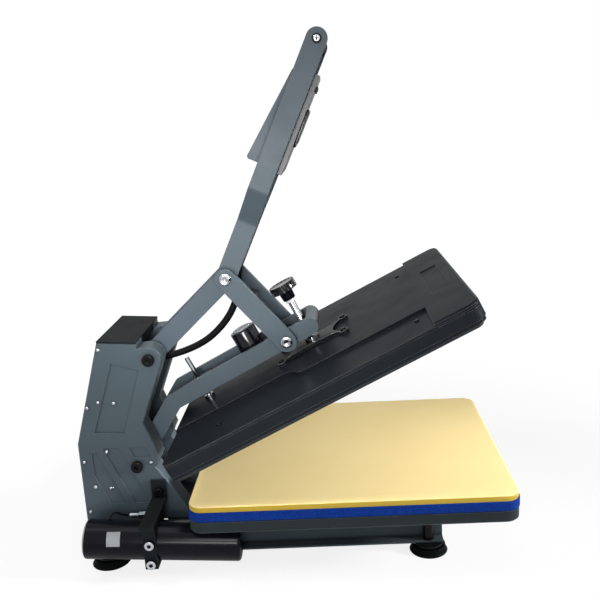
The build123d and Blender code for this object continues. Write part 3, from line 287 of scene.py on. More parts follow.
# %% [markdown]
# ## Effects that several finishes share
# Powder coat, moulded plastic and rubber all have a fine grain, worn edges and a little
# dust on what faces up. Each effect is a node group with named inputs, built once.

# %% Building a node tree


def set_inputs(tree, node, **inputs):
    """Set each input to a plain value, or link the socket that feeds it. _ stands for a space."""
    for label, value in inputs.items():
        target = node.inputs[label.replace("_", " ")]
        if isinstance(value, bpy.types.NodeSocket):
            tree.links.new(value, target)
        else:
            target.default_value = value
    return node


def add(tree, kind, **inputs):
    return set_inputs(tree, tree.nodes.new("ShaderNode" + kind), **inputs)


def own_place(tree):
    """Where on the piece a point lies, in the piece's own coordinates."""
    return add(tree, "TexCoord").outputs["Object"]


def noise(tree, **inputs):
    return add(tree, "TexNoise", Vector=own_place(tree), **inputs).outputs["Fac"]


def remap(tree, value, low, high, **inputs):
    """0 where the value equals low and 1 where it equals high, unless To_Min and To_Max are given."""
    return add(tree, "MapRange", Value=value, From_Min=low, From_Max=high, **inputs).outputs["Result"]


def maths(tree, operation, first, second):
    """Two values worked into one, which stays between 0 and 1."""
    node = add(tree, "Math")
    node.operation = operation
    node.use_clamp = True
    tree.links.new(first, node.inputs[0])
    tree.links.new(second, node.inputs[1])
    return node.outputs["Value"]


def new_group(name, inputs, output, kind="NodeSocketFloat"):
    """A node group with one output. Gives the group, the sockets of its inputs, and its end."""
    group = bpy.data.node_groups.new(name, "ShaderNodeTree")
    for label, value in inputs.items():
        socket = group.interface.new_socket(label, in_out="INPUT", socket_type="NodeSocketFloat")
        socket.default_value = value
    group.interface.new_socket(output, in_out="OUTPUT", socket_type=kind)
    return group, group.nodes.new("NodeGroupInput").outputs, group.nodes.new("NodeGroupOutput")


# %% [markdown]
# Edges on the real press are rounded, so they catch light, and they lose paint first. One trick finds them:
# a Bevel node gives the normal that a rounded edge would have, and where it differs from the true one there
# is an edge. Dust follows the direction that a face looks in, and painted shade darkens the corners that
# ambient occlusion finds closed in.

# %% Node groups
edge_samples, corner_samples = 6, 8


def soft_skin_group():
    """A surface with rounded edges and a fine grain."""
    start = {"Edge": 1.0 * mm, "Scale": 900.0, "Depth": 0.15}
    group, given, end = new_group("soft_skin", start, "Normal", "NodeSocketVector")
    edge = add(group, "Bevel", Radius=given["Edge"])
    edge.samples = edge_samples
    grain = noise(group, Scale=given["Scale"], Detail=3.0)
    bump = add(group, "Bump", Height=grain, Strength=given["Depth"], Distance=0.3 * mm)
    set_inputs(group, bump, Normal=edge.outputs["Normal"])
    set_inputs(group, end, Normal=bump.outputs["Normal"])
    return group


def edge_wear_and_highlight_group():
    """High along edges, broken up by noise, and 0 on flat stretches: where paint is worn, and on some
    finishes a painted highlight.
    """
    group, given, end = new_group("edge_wear_and_highlight", {"Width": 1.5 * mm, "Amount": 1.0}, "Mask")
    round_edge = add(group, "Bevel", Radius=given["Width"])
    round_edge.samples = edge_samples
    align = add(group, "VectorMath")
    align.operation = "DOT_PRODUCT"
    group.links.new(round_edge.outputs["Normal"], align.inputs[0])
    group.links.new(add(group, "NewGeometry").outputs["Normal"], align.inputs[1])
    sharp = remap(group, align.outputs["Value"], 0.985, 0.90)
    broken = maths(group, "MULTIPLY", sharp, noise(group, Scale=55.0, Detail=5.0))
    set_inputs(group, end, Mask=maths(group, "MULTIPLY", broken, given["Amount"]))
    return group


def mottle_group():
    """A value that wanders slowly between Low and High over the surface."""
    group, given, end = new_group("mottle", {"Scale": 14.0, "Low": 0.4, "High": 0.5}, "Value")
    cloud = noise(group, Scale=given["Scale"], Detail=6.0, Roughness=0.6)
    set_inputs(group, end, Value=remap(group, cloud, 0.3, 0.7, To_Min=given["Low"], To_Max=given["High"]))
    return group


def dust_group():
    """Dust that settles on faces that look up."""
    group, given, end = new_group("settled_dust", {"Amount": 0.1}, "Mask")
    facing = add(group, "SeparateXYZ", Vector=add(group, "NewGeometry").outputs["Normal"])
    upward = remap(group, facing.outputs["Z"], 0.3, 1.0)
    specks = maths(group, "MULTIPLY", upward, noise(group, Scale=90.0, Detail=8.0))
    set_inputs(group, end, Mask=maths(group, "MULTIPLY", specks, given["Amount"]))
    return group


def corner_shade_group():
    """Painted shade: 1 deep in corners and seams that ambient occlusion finds closed in, and 0 in the open.
    """
    group, given, end = new_group("painted_corner_shade", {"Reach": 6.0 * mm, "Amount": 0.6}, "Mask")
    around = add(group, "AmbientOcclusion", Distance=given["Reach"])
    around.samples = corner_samples
    closed = remap(group, around.outputs["AO"], 0.95, 0.45)
    set_inputs(group, end, Mask=maths(group, "MULTIPLY", closed, given["Amount"]))
    return group


soft_skin, edge_wear_and_highlight, mottle = soft_skin_group(), edge_wear_and_highlight_group(), mottle_group()
settled_dust, painted_corner_shade = dust_group(), corner_shade_group()
print("groups:", [g.name for g in bpy.data.node_groups])

# %% [markdown]
# ## A coated surface
# Most of the press is steel under powder coat, or moulded plastic. One function makes them all: a colour
# that is lighter along edges and where dust lies, and darker in corners as painted shade, a roughness that
# wanders a little, and the grained skin. The lighter edges are worn paint, and on the heater and the spider
# plate also a painted highlight.

# %% Coated finishes


def place_group(tree, group, **inputs):
    """Put a group in a tree with its own values, and give the group's only output."""
    node = tree.nodes.new("ShaderNodeGroup")
    node.node_tree = group
    return set_inputs(tree, node, **inputs).outputs[0]


def blank_material(name):
    material = bpy.data.materials.new(name)
    material.use_nodes = True
    return material, material.node_tree, material.node_tree.nodes["Principled BSDF"]


def mix_colour(tree, mask, first, second):
    """first where the mask is 0 and second where it is 1. A colour or a socket may stand for either."""
    mix = tree.nodes.new("ShaderNodeMix")
    mix.data_type = "RGBA"
    tree.links.new(mask, mix.inputs["Factor"])
    for socket, value in (("A", first), ("B", second)):
        target = [i for i in mix.inputs if i.name == socket and i.type == "RGBA"][0]
        if isinstance(value, bpy.types.NodeSocket):
            tree.links.new(value, target)
        else:
            target.default_value = (*value, 1)
    return [o for o in mix.outputs if o.type == "RGBA"][0]


dust_colour = (0.42, 0.40, 0.38)


def coated(
    name, colour, roughness, worn_and_highlit_colour=None, wear_and_highlight=0.6, dust=0.06,
    edge=1.0, grain=900.0, depth=0.15, shade=0.12, ior=1.3,
):
    """A painted or moulded surface. edge, the rounding of its edges, is in millimetres."""
    material, tree, shader = blank_material(name)
    skin = place_group(tree, soft_skin, Edge=edge * mm, Scale=grain, Depth=depth)
    gloss = place_group(tree, mottle, Scale=18.0, Low=roughness - 0.05, High=roughness + 0.06)
    tone = place_group(tree, mottle, Scale=9.0, Low=0.0, High=1.0)
    # Lighter edges: worn paint, and on the heater and the spider plate a painted highlight too.
    worn_and_highlit_edges = place_group(tree, edge_wear_and_highlight, Width=1.4 * mm, Amount=wear_and_highlight)
    dusty = place_group(tree, settled_dust, Amount=dust)
    corner = place_group(tree, painted_corner_shade, Reach=6.0 * mm, Amount=0.75)
    base = mix_colour(tree, tone, [c * (1 - shade) for c in colour], colour)
    base = mix_colour(tree, worn_and_highlit_edges, base, worn_and_highlit_colour or [min(1, c * 2.2 + 0.03) for c in colour])
    base = mix_colour(tree, dusty, base, dust_colour)
    # Painted shade: corners and seams that ambient occlusion finds darken to an eighth of the colour.
    base = mix_colour(tree, corner, base, [c * 0.12 for c in colour])
    set_inputs(tree, shader, Base_Color=base, Roughness=gloss, Normal=skin, IOR=ior)
    return material


# %% [markdown]
# The bars, the rails and the covers are one grey in three strengths, each set to the light that it catches:
# painted light on the bars, and painted shade on the covers and, darker still, on the rails. A low IOR keeps
# the blacks dark in a white room, because it weakens the pale reflection that would lie over them.

# %% Paints and moulded plastics
# One grey: lit for the bars, with painted shade in darker copies for the rails and the covers.
grey_paint_lit = coated("grey_paint_lit", (0.080, 0.106, 0.126), 0.42, wear_and_highlight=0.35)
grey_paint_shaded_rails = coated("grey_paint_shaded_rails", (0.042, 0.056, 0.066), 0.46, wear_and_highlight=0.35, ior=1.2)
grey_paint_shaded_covers = coated("grey_paint_shaded_covers", (0.060, 0.082, 0.098), 0.46, wear_and_highlight=0.7, depth=0.2)
black_paint = coated("black_paint", (0.012, 0.015, 0.016), 0.50, dust=0.02, ior=1.08)
# Its lighter edges are worn paint and a painted highlight.
black_with_worn_and_highlit_edges = coated(
    "black_with_worn_and_highlit_edges", (0.012, 0.014, 0.015), 0.34, worn_and_highlit_colour=(0.34, 0.35, 0.36), wear_and_highlight=1.8, dust=0.02, ior=1.15
)
# Its lighter edges are a painted highlight along the ledges.
heater_plastic = coated(
    "heater_plastic", (0.015, 0.018, 0.022), 0.36, worn_and_highlit_colour=(0.18, 0.19, 0.20), wear_and_highlight=1.0,
    dust=0.0, grain=1400.0, depth=0.06, ior=1.08,
)
platen_paint = coated(
    "platen_paint", (0.018, 0.024, 0.026), 0.50, worn_and_highlit_colour=(0.20, 0.26, 0.28), wear_and_highlight=1.0,
    edge=1.6, depth=0.22, ior=1.2,
)
plate_coating = coated("plate_coating", (0.020, 0.019, 0.018), 0.55, grain=2000.0, depth=0.12)
moulded_black = coated(
    "moulded_black", (0.010, 0.010, 0.012), 0.42, dust=0.02, grain=1600.0, depth=0.22, ior=1.2
)
panel_film = coated(
    "panel_film", (0.13, 0.135, 0.14), 0.34, worn_and_highlit_colour=(0.36, 0.37, 0.38), wear_and_highlight=0.45, dust=0.02, depth=0.06
)
gloss_black = coated(
    "gloss_black", (0.004, 0.004, 0.007), 0.12, wear_and_highlight=0.2, dust=0.01, edge=0.8, depth=0.03, ior=1.4
)
screw_black = coated(
    "screw_black", (0.004, 0.004, 0.005), 0.16, wear_and_highlight=0.4, dust=0.01, edge=0.6, depth=0.05, ior=1.25
)
tube_black = coated(
    "tube_black", (0.003, 0.003, 0.006), 0.15, wear_and_highlight=0.1, dust=0.01, edge=0.5, depth=0.03, ior=1.22
)
label_grey = coated("blank_label", (0.36, 0.37, 0.38), 0.60, worn_and_highlit_colour=(0.55, 0.55, 0.56), depth=0.1, shade=0.25)
white_nylon = coated("white_nylon", (0.80, 0.79, 0.77), 0.40, worn_and_highlit_colour=(0.82, 0.81, 0.80), depth=0.08)
board = coated("mineral_board", (0.42, 0.38, 0.30), 0.85, worn_and_highlit_colour=(0.50, 0.46, 0.38), grain=500.0, depth=0.5)
pole_paint = coated("pole_face", (0.46, 0.49, 0.51), 0.42, worn_and_highlit_colour=(0.55, 0.57, 0.58), depth=0.06)
print("paints and plastics:", len(bpy.data.materials))

# %% [markdown]
# Rubber is a coated surface too, with a deeper grain and hardly any wear.

# %% Rubbers
foot_rubber = coated(
    "foot_rubber", (0.003, 0.004, 0.004), 0.55, wear_and_highlight=0.2, dust=0.01, grain=1200.0, depth=0.3, ior=1.1
)
grip_rubber = coated(
    "grip_rubber", (0.008, 0.008, 0.009), 0.55, wear_and_highlight=0.1, dust=0.02, grain=1000.0, depth=0.4, ior=1.15
)
hose_rubber = coated(
    "hose_skin", (0.004, 0.004, 0.005), 0.36, wear_and_highlight=0.0, dust=0.02,
    edge=0.2, grain=1500.0, depth=0.35, ior=1.18,
)
print("coated finishes:", len(bpy.data.materials))

# %% [markdown]
# ## Bare metal
# Pins, rods and bright screws are chromed, plated or brushed. Brushing is a noise that is much finer along
# one direction than along the others, so its lines catch the light as a lathe's marks do. Bright metal in a
# white room would mirror the dark press round its outline, so a painted reflection darkens the colour where
# the surface turns away.

# %% Metal finishes


def bare_metal(name, colour, roughness, lines, depth=0.05):
    """A bare metal. lines says how fine its streaks are along X, Y and Z."""
    material, tree, shader = blank_material(name)
    skin = place_group(tree, soft_skin, Edge=0.5 * mm, Scale=700.0, Depth=0.02)
    gloss = place_group(tree, mottle, Scale=40.0, Low=roughness * 0.8, High=roughness * 1.3)
    stretched = add(tree, "Mapping", Vector=own_place(tree), Scale=lines).outputs["Vector"]
    streaks = add(tree, "TexNoise", Vector=stretched, Scale=1.0, Detail=4.0).outputs["Fac"]
    bump = add(tree, "Bump", Height=streaks, Normal=skin, Strength=depth, Distance=0.2 * mm)
    # Painted reflection: the colour darkens to a quarter where the surface turns away from the view.
    outline = remap(tree, add(tree, "LayerWeight", Blend=0.5).outputs["Facing"], 0.22, 0.5)
    tone = mix_colour(tree, streaks, [c * 0.88 for c in colour], colour)
    tone = mix_colour(tree, outline, tone, [c * 0.25 for c in colour])
    set_inputs(tree, shader, Base_Color=tone, Roughness=gloss, Normal=bump.outputs["Normal"], Metallic=1.0)
    return material


chrome = bare_metal("chrome", (0.56, 0.59, 0.63), 0.16, (300.0, 300.0, 300.0))
dark_steel = bare_metal("dark_steel", (0.16, 0.19, 0.20), 0.30, (300.0, 300.0, 300.0))
brushed = bare_metal("brushed_steel", (0.55, 0.56, 0.58), 0.30, (120.0, 2400.0, 120.0), depth=0.12)
zinc = bare_metal("zinc_plate", (0.52, 0.55, 0.58), 0.30, (900.0, 900.0, 900.0), depth=0.06)
print("finishes in all:", len(bpy.data.materials))

# %% [markdown]
# ## Dress the CAD nodes
# Each node that stays in view keeps its shape, and gets its finish in its first material
# slot. The others are modelled below.

# %% Give each node its finish
finishes = {
    grey_paint_shaded_rails: "base_frame platen_supports",
    grey_paint_lit: "column_frame_left column_frame_right arm_bar_left arm_bar_right arm_yoke "
    "arm_cross_plates front_link_left front_link_right lever_bar_left lever_bar_right control_housing",
    grey_paint_shaded_covers: "side_cover_left side_cover_right",
    black_paint: "top_cover rear_cover hanger_strap clamp_jaw_outer clamp_jaw_inner",
    black_with_worn_and_highlit_edges: "spider_plate",
    heater_plastic: "heater_cover",
    plate_coating: "heating_plate",
    platen_paint: "lower_platen",
    moulded_black: "power_inlet",
    panel_film: "control_panel",
    gloss_black: "power_rocker",
    board: "insulation_board",
    brushed: "strike_plate",
}
for finish, names in finishes.items():
    for name in names.split():
        slots = frame["nodes"][name].data.materials
        slots.clear()
        slots.append(finish)
print("nodes dressed:", sum(len(names.split()) for names in finishes.values()), "of", len(frame["nodes"]))

# %% [markdown]
# ## The pads
# A thick felt-covered pad lies on a blue silicone sponge. Both are slabs with rounded
# corners. A box is bevelled twice: its upright edges become the corners, then its top
# edge is rounded as the pressed cloth is.

# %% A slab with rounded corners


def rounded_slab(name, low, high, corner, top_edge):
    clear_selection()
    bpy.ops.mesh.primitive_cube_add(size=1, location=(low + high) / 2)
    slab = bpy.context.object
    slab.name = name
    slab.scale = high - low
    settle(slab)
    select_edges(slab, lambda a, b: abs(a.z - b.z) > (high.z - low.z) / 2)
    bpy.ops.mesh.bevel(offset=corner, offset_type="OFFSET", segments=10, affect="EDGES")
    leave_edit()
    select_edges(slab, lambda a, b: min(a.z, b.z) > high.z - 0.01 * mm)
    bpy.ops.mesh.bevel(offset=top_edge, offset_type="OFFSET", segments=4, affect="EDGES")
    leave_edit()
    print(name, [round(s, 4) for s in slab.dimensions], len(slab.data.polygons), "faces")
    return smooth(slab, 40)


corner_radius = 22.0 * mm
felt = rounded_slab("felt_top", *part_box("felt_pad"), corner_radius, 2.6 * mm)
sponge = rounded_slab("silicone_sponge", *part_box("silicone_pad"), corner_radius + 2.0 * mm, 1.6 * mm)

# %% [markdown]
# Felt is matt, with short fibres that stand up and catch light at a grazing angle, which
# is what sheen is for. Its cut side is darker and more yellow than its face. The sponge
# shows small pores.

# %% Felt and sponge finishes


def felt_finish():
    """Cream cloth on the face, and a darker yellow below the level where the slab's side begins."""
    material, tree, shader = blank_material("cream_felt")
    height = add(tree, "SeparateXYZ", Vector=own_place(tree)).outputs["Z"]
    side = remap(tree, height, pad_high.z - 0.9 * mm, pad_high.z - 2.2 * mm)
    fibres = noise(tree, Scale=620.0, Detail=6.0, Distortion=1.2)
    cloud = place_group(tree, mottle, Scale=7.0, Low=0.0, High=1.0)
    face = mix_colour(tree, cloud, (0.900, 0.705, 0.315), (0.930, 0.745, 0.350))
    cut_side = mix_colour(tree, fibres, (0.32, 0.22, 0.020), (0.50, 0.35, 0.045))
    bump = add(tree, "Bump", Height=fibres, Strength=0.35, Distance=0.4 * mm)
    set_inputs(tree, shader, Base_Color=mix_colour(tree, side, face, cut_side), Roughness=0.92)
    set_inputs(tree, shader, Normal=bump.outputs["Normal"], Specular_IOR_Level=0.15, Sheen_Weight=0.06)
    return material


def sponge_finish():
    material, tree, shader = blank_material("blue_sponge")
    pores = add(tree, "TexVoronoi", Vector=own_place(tree), Scale=420.0).outputs["Distance"]
    tone = mix_colour(tree, pores, (0.001, 0.012, 0.11), (0.002, 0.032, 0.22))
    bump = add(tree, "Bump", Height=pores, Strength=0.4, Distance=0.4 * mm)
    set_inputs(tree, shader, Base_Color=tone, Roughness=0.7, Specular_IOR_Level=0.08)
    set_inputs(tree, shader, Normal=bump.outputs["Normal"])
    return material


felt.data.materials.append(felt_finish())
sponge.data.materials.append(sponge_finish())
for piece, node, slot in ((felt, "felt_pad", "felt"), (sponge, "silicone_pad", "silicone")):
    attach(piece, "base")
    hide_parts(node)

# %% [markdown]
# ## The cables
# A hose carries the wires from the column up to the control box, and a thin lead joins
# the sensor to the canister. A NURBS spline takes the route's points as its control
# points and runs smoothly between them, as a stiff hose does. It is drawn twice: once
# bare, to read its line and its length, and once with a thickness, as the piece.

# %% A cord along a spline


def cord_curve(name, route, radius):
    line = bpy.data.curves.new(name, "CURVE")
    line.dimensions = "3D"
    line.resolution_u = 16
    line.bevel_depth = radius
    line.bevel_resolution = 4
    line.use_fill_caps = True
    spline = line.splines.new("NURBS")
    spline.points.add(len(route) - 1)
    for point, place in zip(spline.points, route):
        point.co = (*place, 1)
    spline.order_u = 3
    spline.use_endpoint_u = True
    piece = bpy.data.objects.new(name, line)
    bpy.context.collection.objects.link(piece)
    return piece


def line_of(name, route):
    """The points that the bare spline passes through."""
    bare = cord_curve(name, route, 0.0)
    mesh = bpy.data.meshes.new_from_object(bare)
    points = [v.co.copy() for v in mesh.vertices]
    bpy.data.objects.remove(bare)
    bpy.data.meshes.remove(mesh)
    return points


def cord_piece(name, route, radius):
    path = line_of(name + "_line", route)
    piece = cord_curve(name, route, radius)
    only(piece)
    bpy.ops.object.convert(target="MESH")
    piece = bpy.context.object
    length = sum((b - a).length for a, b in zip(path, path[1:]))
    print(name, "length", round(length, 4), "radius", radius, len(piece.data.polygons), "faces")
    return smooth(piece, 60), path, length


# %% [markdown]
# The hose's upper end is given along the tilted handle, from the knee where the lever
# meets the links. The rest of its route is given from the pad.

# %% The hose
handle_angle = math.radians(65.4)
knee = pad_point(62, 0, 314)
along_handle = Vector((math.cos(handle_angle), 0, math.sin(handle_angle)))
to_operator = Vector((math.sin(handle_angle), 0, -math.cos(handle_angle)))


def on_handle(s, p, y=0.0):
    """A point s along the handle from the knee, p to the operator and y across, in millimetres."""
    return knee + along_handle * (s * mm) + to_operator * (p * mm) + Vector((0, y * mm, 0))


hose_radius = 5.8 * mm
hose_end = on_handle(192, -17 / 3, -12)
hose_route = [
    pad_point(-128, -10, 168),
    pad_point(-15, -10, 176),
    pad_point(72, -10, 248),
    pad_point(81, -10, 340),
    hose_end - along_handle * (50 * mm),
    hose_end,
]
hose, hose_path, hose_length = cord_piece("control_hose", hose_route, hose_radius)

# %% [markdown]
# The lead leaves the sensor backwards, turns to the canister and meets it near the top.

# %% The canister's lead
tube_tilt = math.radians(3.3)
tube_dir = Vector((math.cos(tube_tilt), 0, -math.sin(tube_tilt)))
tube_middle = pad_point(-66, -150, -80)
tube_radius = 30.7 * mm


def on_tube(x):
    """The point of the canister's axis that lies x millimetres before the pad's rear edge."""
    return tube_middle + tube_dir * ((pad_point(x, 0, 0).x - tube_middle.x) / tube_dir.x)


def across(angle):
    """A direction across the press, at an angle in degrees above the far side."""
    return Vector((0, math.cos(math.radians(angle)), math.sin(math.radians(angle))))


lead_radius = 1.5 * mm
lead_start = pad_point(-115, -93, -68)
lead_end = on_tube(-134.6) + across(81.5) * (tube_radius + lead_radius)
lead_over = lead_end + across(12) * (20 * mm)
lead_route = [lead_start, lead_start - Vector((14 * mm, 0, 0)), lead_over, lead_end]
lead, lead_path, lead_length = cord_piece("sensor_wire", lead_route, lead_radius)

# %% [markdown]
# Both cords get the rubber finish in place of their CAD nodes. The lead rides on the base. The hose crosses
# the lever's joint, but it rides on no body: its place goes into its mesh.

for cord, node in ((hose, "cable_hose"), (lead, "sensor_lead")):
    cord.data.materials.append(hose_rubber)
    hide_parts(node)
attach(lead, "base")
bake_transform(hose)

# %% [markdown]
# ## Screw heads
# A screw's head is what tells the eye its size. Each kind is modelled once, looking along
# +Z with its top at the origin. Two kinds are a disc whose rim is rounded, with a cross or
# a hexagon cut out by a boolean. The small ones on the covers are turned. Copies then go
# where the CAD screws are.

# %% Three kinds of screw head


def disc(name, radius, depth, sides=32):
    """A short cylinder whose top is at the origin."""
    clear_selection()
    bpy.ops.mesh.primitive_cylinder_add(
        vertices=sides, radius=radius, depth=depth, location=(0, 0, -depth / 2)
    )
    piece = bpy.context.object
    piece.name = name
    return settle(piece)


def round_rim(piece, width, segments=4):
    """Round the edge round the top face."""
    top = max(v.co.z for v in piece.data.vertices)
    select_edges(piece, lambda a, b: min(a.z, b.z) > top - 1e-6)
    bpy.ops.mesh.bevel(offset=width, offset_type="OFFSET", segments=segments, affect="EDGES")
    leave_edit()


def cut(piece, cutter):
    """Take the cutter's space out of the piece."""
    boolean = piece.modifiers.new("recess", "BOOLEAN")
    boolean.operation = "DIFFERENCE"
    boolean.object = cutter
    apply_modifiers(piece)
    bpy.data.objects.remove(cutter)


def cross_screw(radius, height):
    head = disc("cross_head", radius, height)
    round_rim(head, height * 0.55)
    clear_selection()
    arms = []
    for turn in (0, math.pi / 2):
        bpy.ops.mesh.primitive_cube_add(size=1, rotation=(0, 0, turn))
        arm = bpy.context.object
        arm.scale = (radius * 1.15, radius * 0.26, height)
        settle(arm)
        arms.append(arm)
    cut(head, arms[0])
    cut(head, arms[1])
    return smooth(head)


def domed_screw(radius, height):
    """A small raised head with a shallow dimple, too fine to show its cross from a distance."""
    heights = (-1, -0.55, -0.25, -0.05, 0, -0.3)
    radii = (1, 1, 0.86, 0.6, 0.3, 0.18)
    outline = [(height / mm * h, radius / mm * r) for h, r in zip(heights, radii)]
    return turned("domed_head", outline, 24)


def socket_screw(radius, height, socket_width):
    head = disc("socket_head", radius, height, 40)
    round_rim(head, radius * 0.14)
    clear_selection()
    bpy.ops.mesh.primitive_cylinder_add(vertices=6, radius=socket_width / math.sqrt(3), depth=height * 1.2)
    cut(head, settle(bpy.context.object))
    return smooth(head)


def side_spots(node):
    """Where each screw of a node ends, and the side it looks to."""
    spots = []
    for solid in solids_of(node):
        middle = sum(solid, Vector()) / len(solid)
        axis = left if middle.y < 0 else -left
        spots.append((end_of(solid, axis), axis))
    return spots


def back_by(spots, depth):
    """The same spots, moved back into the press."""
    return [(place - axis * depth, axis) for place, axis in spots]


# %% [markdown]
# Each CAD screw says where its head goes: the middle of its outer end face, and the side
# that it looks to. So a head stays in place when the model under it changes.

# %% Screws of the column, the clamp and the grip
clamp_spots, grip_spots = side_spots("clamp_screws"), side_spots("grip_screws")
jaw_spots = [s for s in clamp_spots if s[0].y < tube_middle.y]
strap_spots = [s for s in clamp_spots if s[0].y > tube_middle.y]
clamp_screw = (7.5 * mm, 5.0 * mm, 6.0 * mm)  # its head's radius and height, and the socket's width
# Painted shade: a thin black hexagon lies deep in each clamp screw's socket, where the steel is in shadow.
socket_shade_disc = turned("socket_shade", [(-1.8, 3.2), (-1.3, 3.2)], 6)
grip_ring = turned("grip_ring", [(-1.5, 6.8), (-0.4, 6.8), (0, 6.2)])

cover_heads = copies_at(domed_screw(3.0 * mm, 2.0 * mm), "cover_screw_heads", side_spots("cover_screws"))
pivot_heads = copies_at(
    socket_screw(9.5 * mm, 7.0 * mm, 8.0 * mm), "pivot_screw_heads", side_spots("pivot_screws")
)
clamp_heads = copies_at(socket_screw(*clamp_screw), "clamp_screw_heads", jaw_spots)
strap_heads = copies_at(socket_screw(*clamp_screw), "strap_screw_head", strap_spots)
# The painted shade in the sockets.
painted_socket_shades = copies_at(socket_shade_disc, "clamp_screw_socket_shades", back_by(jaw_spots, 0.4 * mm))
grip_heads = copies_at(cross_screw(5.3 * mm, 3.0 * mm), "grip_screw_heads", grip_spots)
grip_rings = copies_at(grip_ring, "grip_screw_rings", back_by(grip_spots, 1.5 * mm))

# %% [markdown]
# The heater's screws look along its own upward direction. Those near the middle hold the
# spider plate, and are larger than those on the ledges.

# %% Screws of the heater
spider_half = 60 * mm
heater_spots = [(end_of(solid, heater_up), heater_up) for solid in solids_of("heater_screws")]
wide = [s for s in heater_spots if abs(s[0].y) < spider_half]
narrow = [s for s in heater_spots if abs(s[0].y) > spider_half]
spider_heads = copies_at(cross_screw(5.0 * mm, 3.5 * mm), "spider_screw_heads", wide)
ledge_heads = copies_at(cross_screw(3.6 * mm, 2.2 * mm), "ledge_screw_heads", narrow)

# %% [markdown]
# Every piece is told which body it rides on, or it would stay behind when that moves.

# %% Finish the screws
for piece, finish, slot, body, nodes in (
    (cover_heads, zinc, "steel", "base", ["cover_screws"]),
    (pivot_heads, screw_black, "black_screw", "base", ["pivot_screws"]),
    (clamp_heads, chrome, "chrome", "base", ["clamp_screws"]),
    (painted_socket_shades, screw_black, "black_screw", "base", []),
    (strap_heads, screw_black, "black_screw", "base", []),
    (grip_heads, chrome, "chrome", "lever", ["grip_screws"]),
    (grip_rings, screw_black, "black_screw", "lever", []),
    (spider_heads, screw_black, "black_screw", "heater", ["heater_screws"]),
    (ledge_heads, screw_black, "black_screw", "heater", []),
):
    dress(piece, finish, slot, body, *nodes)

# %% [markdown]
# ## Pins and clips
# The links turn on polished pins, and an E-clip snapped into a groove keeps each pin in
# place. The clip is a flat ring with an opening. A torus is flattened, the faces in its
# opening are deleted, and the two ends are filled.

# %% Pins with their clips


def e_clip(radius, thickness, opening=38):
    clear_selection()
    bpy.ops.mesh.primitive_torus_add(
        major_segments=40, minor_segments=10, major_radius=radius * mm, minor_radius=thickness * mm
    )
    clip = bpy.context.object
    clip.name = "clip"
    clip.scale = (1, 1, 0.5)
    settle(clip)
    half = math.radians(opening / 2)
    select_faces(clip, lambda f: abs(math.atan2(f.center.y, f.center.x)) < half)
    bpy.ops.mesh.delete(type="FACE")
    bpy.ops.mesh.select_all(action="SELECT")
    bpy.ops.mesh.fill_holes(sides=0)
    face_outwards()
    return smooth(clip, 40)


pin_radius, groove_radius = 7.0, 5.6


def pin_end(length):
    """A pin whose outer end is at the origin, with a chamfer, a dimple and the groove for the clip."""
    groove = [(-3.4, pin_radius), (-3.4, groove_radius), (-1.8, groove_radius), (-1.8, pin_radius)]
    end = [(-0.8, pin_radius), (0, 6.2), (0, 2.6), (-1.0, 1.4)]
    return turned("pin_end", [(-length, pin_radius), *groove, *end], 40)


clip_depth = 2.6 * mm
clip_radius, clip_thickness = 7.7, 1.9
pin_low, pin_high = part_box("front_pivot_pin")
pin_middle = (pin_low + pin_high) / 2
front_ends = [
    (Vector((pin_middle.x, y, pin_middle.z)), axis) for y, axis in ((pin_low.y, left), (pin_high.y, -left))
]
knee_ends = side_spots("knee_pins")
front_pins = copies_at(pin_end((pin_high.y - pin_low.y) / 2 / mm), "front_pin", front_ends)
front_clips = copies_at(
    e_clip(clip_radius, clip_thickness), "front_pin_clips", back_by(front_ends, clip_depth)
)
knee_pins = copies_at(pin_end(12.0), "knee_pin_ends", knee_ends)
knee_clips = copies_at(e_clip(clip_radius, clip_thickness), "knee_pin_clips", back_by(knee_ends, clip_depth))
dress(front_pins, chrome, "chrome", "arm", "front_pivot_pin")
dress(front_clips, chrome, "chrome", "arm")
dress(knee_pins, chrome, "chrome", "front_links", "knee_pins")
dress(knee_clips, chrome, "chrome", "front_links")

# %% [markdown]
# Under each clip lies a black washer that keeps it off the paint.

# %% Washers under the clips
link_face = 51.0 * mm
washer_outline = [(0, 8.6), (0.4, 9.2), (0.9, 9.2), (1.1, 8.8)]
for name, ends, body in (
    ("front_pin_washers", front_ends, "arm"),
    ("knee_pin_washers", knee_ends, "front_links"),
):
    spots = [(Vector((p.x, math.copysign(link_face, p.y), p.z)), axis) for p, axis in ends]
    dress(copies_at(turned("washer", washer_outline), name, spots), screw_black, "black_screw", body)

# %% [markdown]
# ## Shafts and rods
# The two main shafts and the knee's shaft run between the bars, each with a spacer
# sleeve. The lifting rod under the knob is polished and stands in a round seat, and a
# thinner rod behind the magnet guides the heater.

# %% Shafts between the bars


def shaft_between(name, node, half, sleeve_half, radius, sleeve_radius):
    """A shaft across the press with a wider sleeve in its middle, standing for a node."""
    low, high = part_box(node)
    near_half = [
        (-half, radius - 0.6),
        (-half + 0.6, radius),
        (-sleeve_half, radius),
        (-sleeve_half, sleeve_radius - 0.4),
        (-sleeve_half + 0.4, sleeve_radius),
    ]
    far_half = [(-height, width) for height, width in reversed(near_half)]
    return stand(turned(name, near_half + far_half), (low + high) / 2, left)


pivot_sizes = (50.0, 33.7, 8.0, 12.0)
knee_sizes = (42.5, 34.0, 7.0, 11.0)
for name, node, body, sizes in (
    ("upper_shaft", "upper_pivot_shaft", "base", pivot_sizes),
    ("lower_shaft", "lower_pivot_shaft", "base", pivot_sizes),
    ("knee_bar", "knee_shaft", "lever", knee_sizes),
):
    dress(shaft_between(name, node, *sizes), brushed, "steel", body, node)

# %% [markdown]
# The rods and the knob's collar stand along the heater's upward direction. Each outline
# starts at the foot of its CAD solid, and a rod's is as long as that solid.

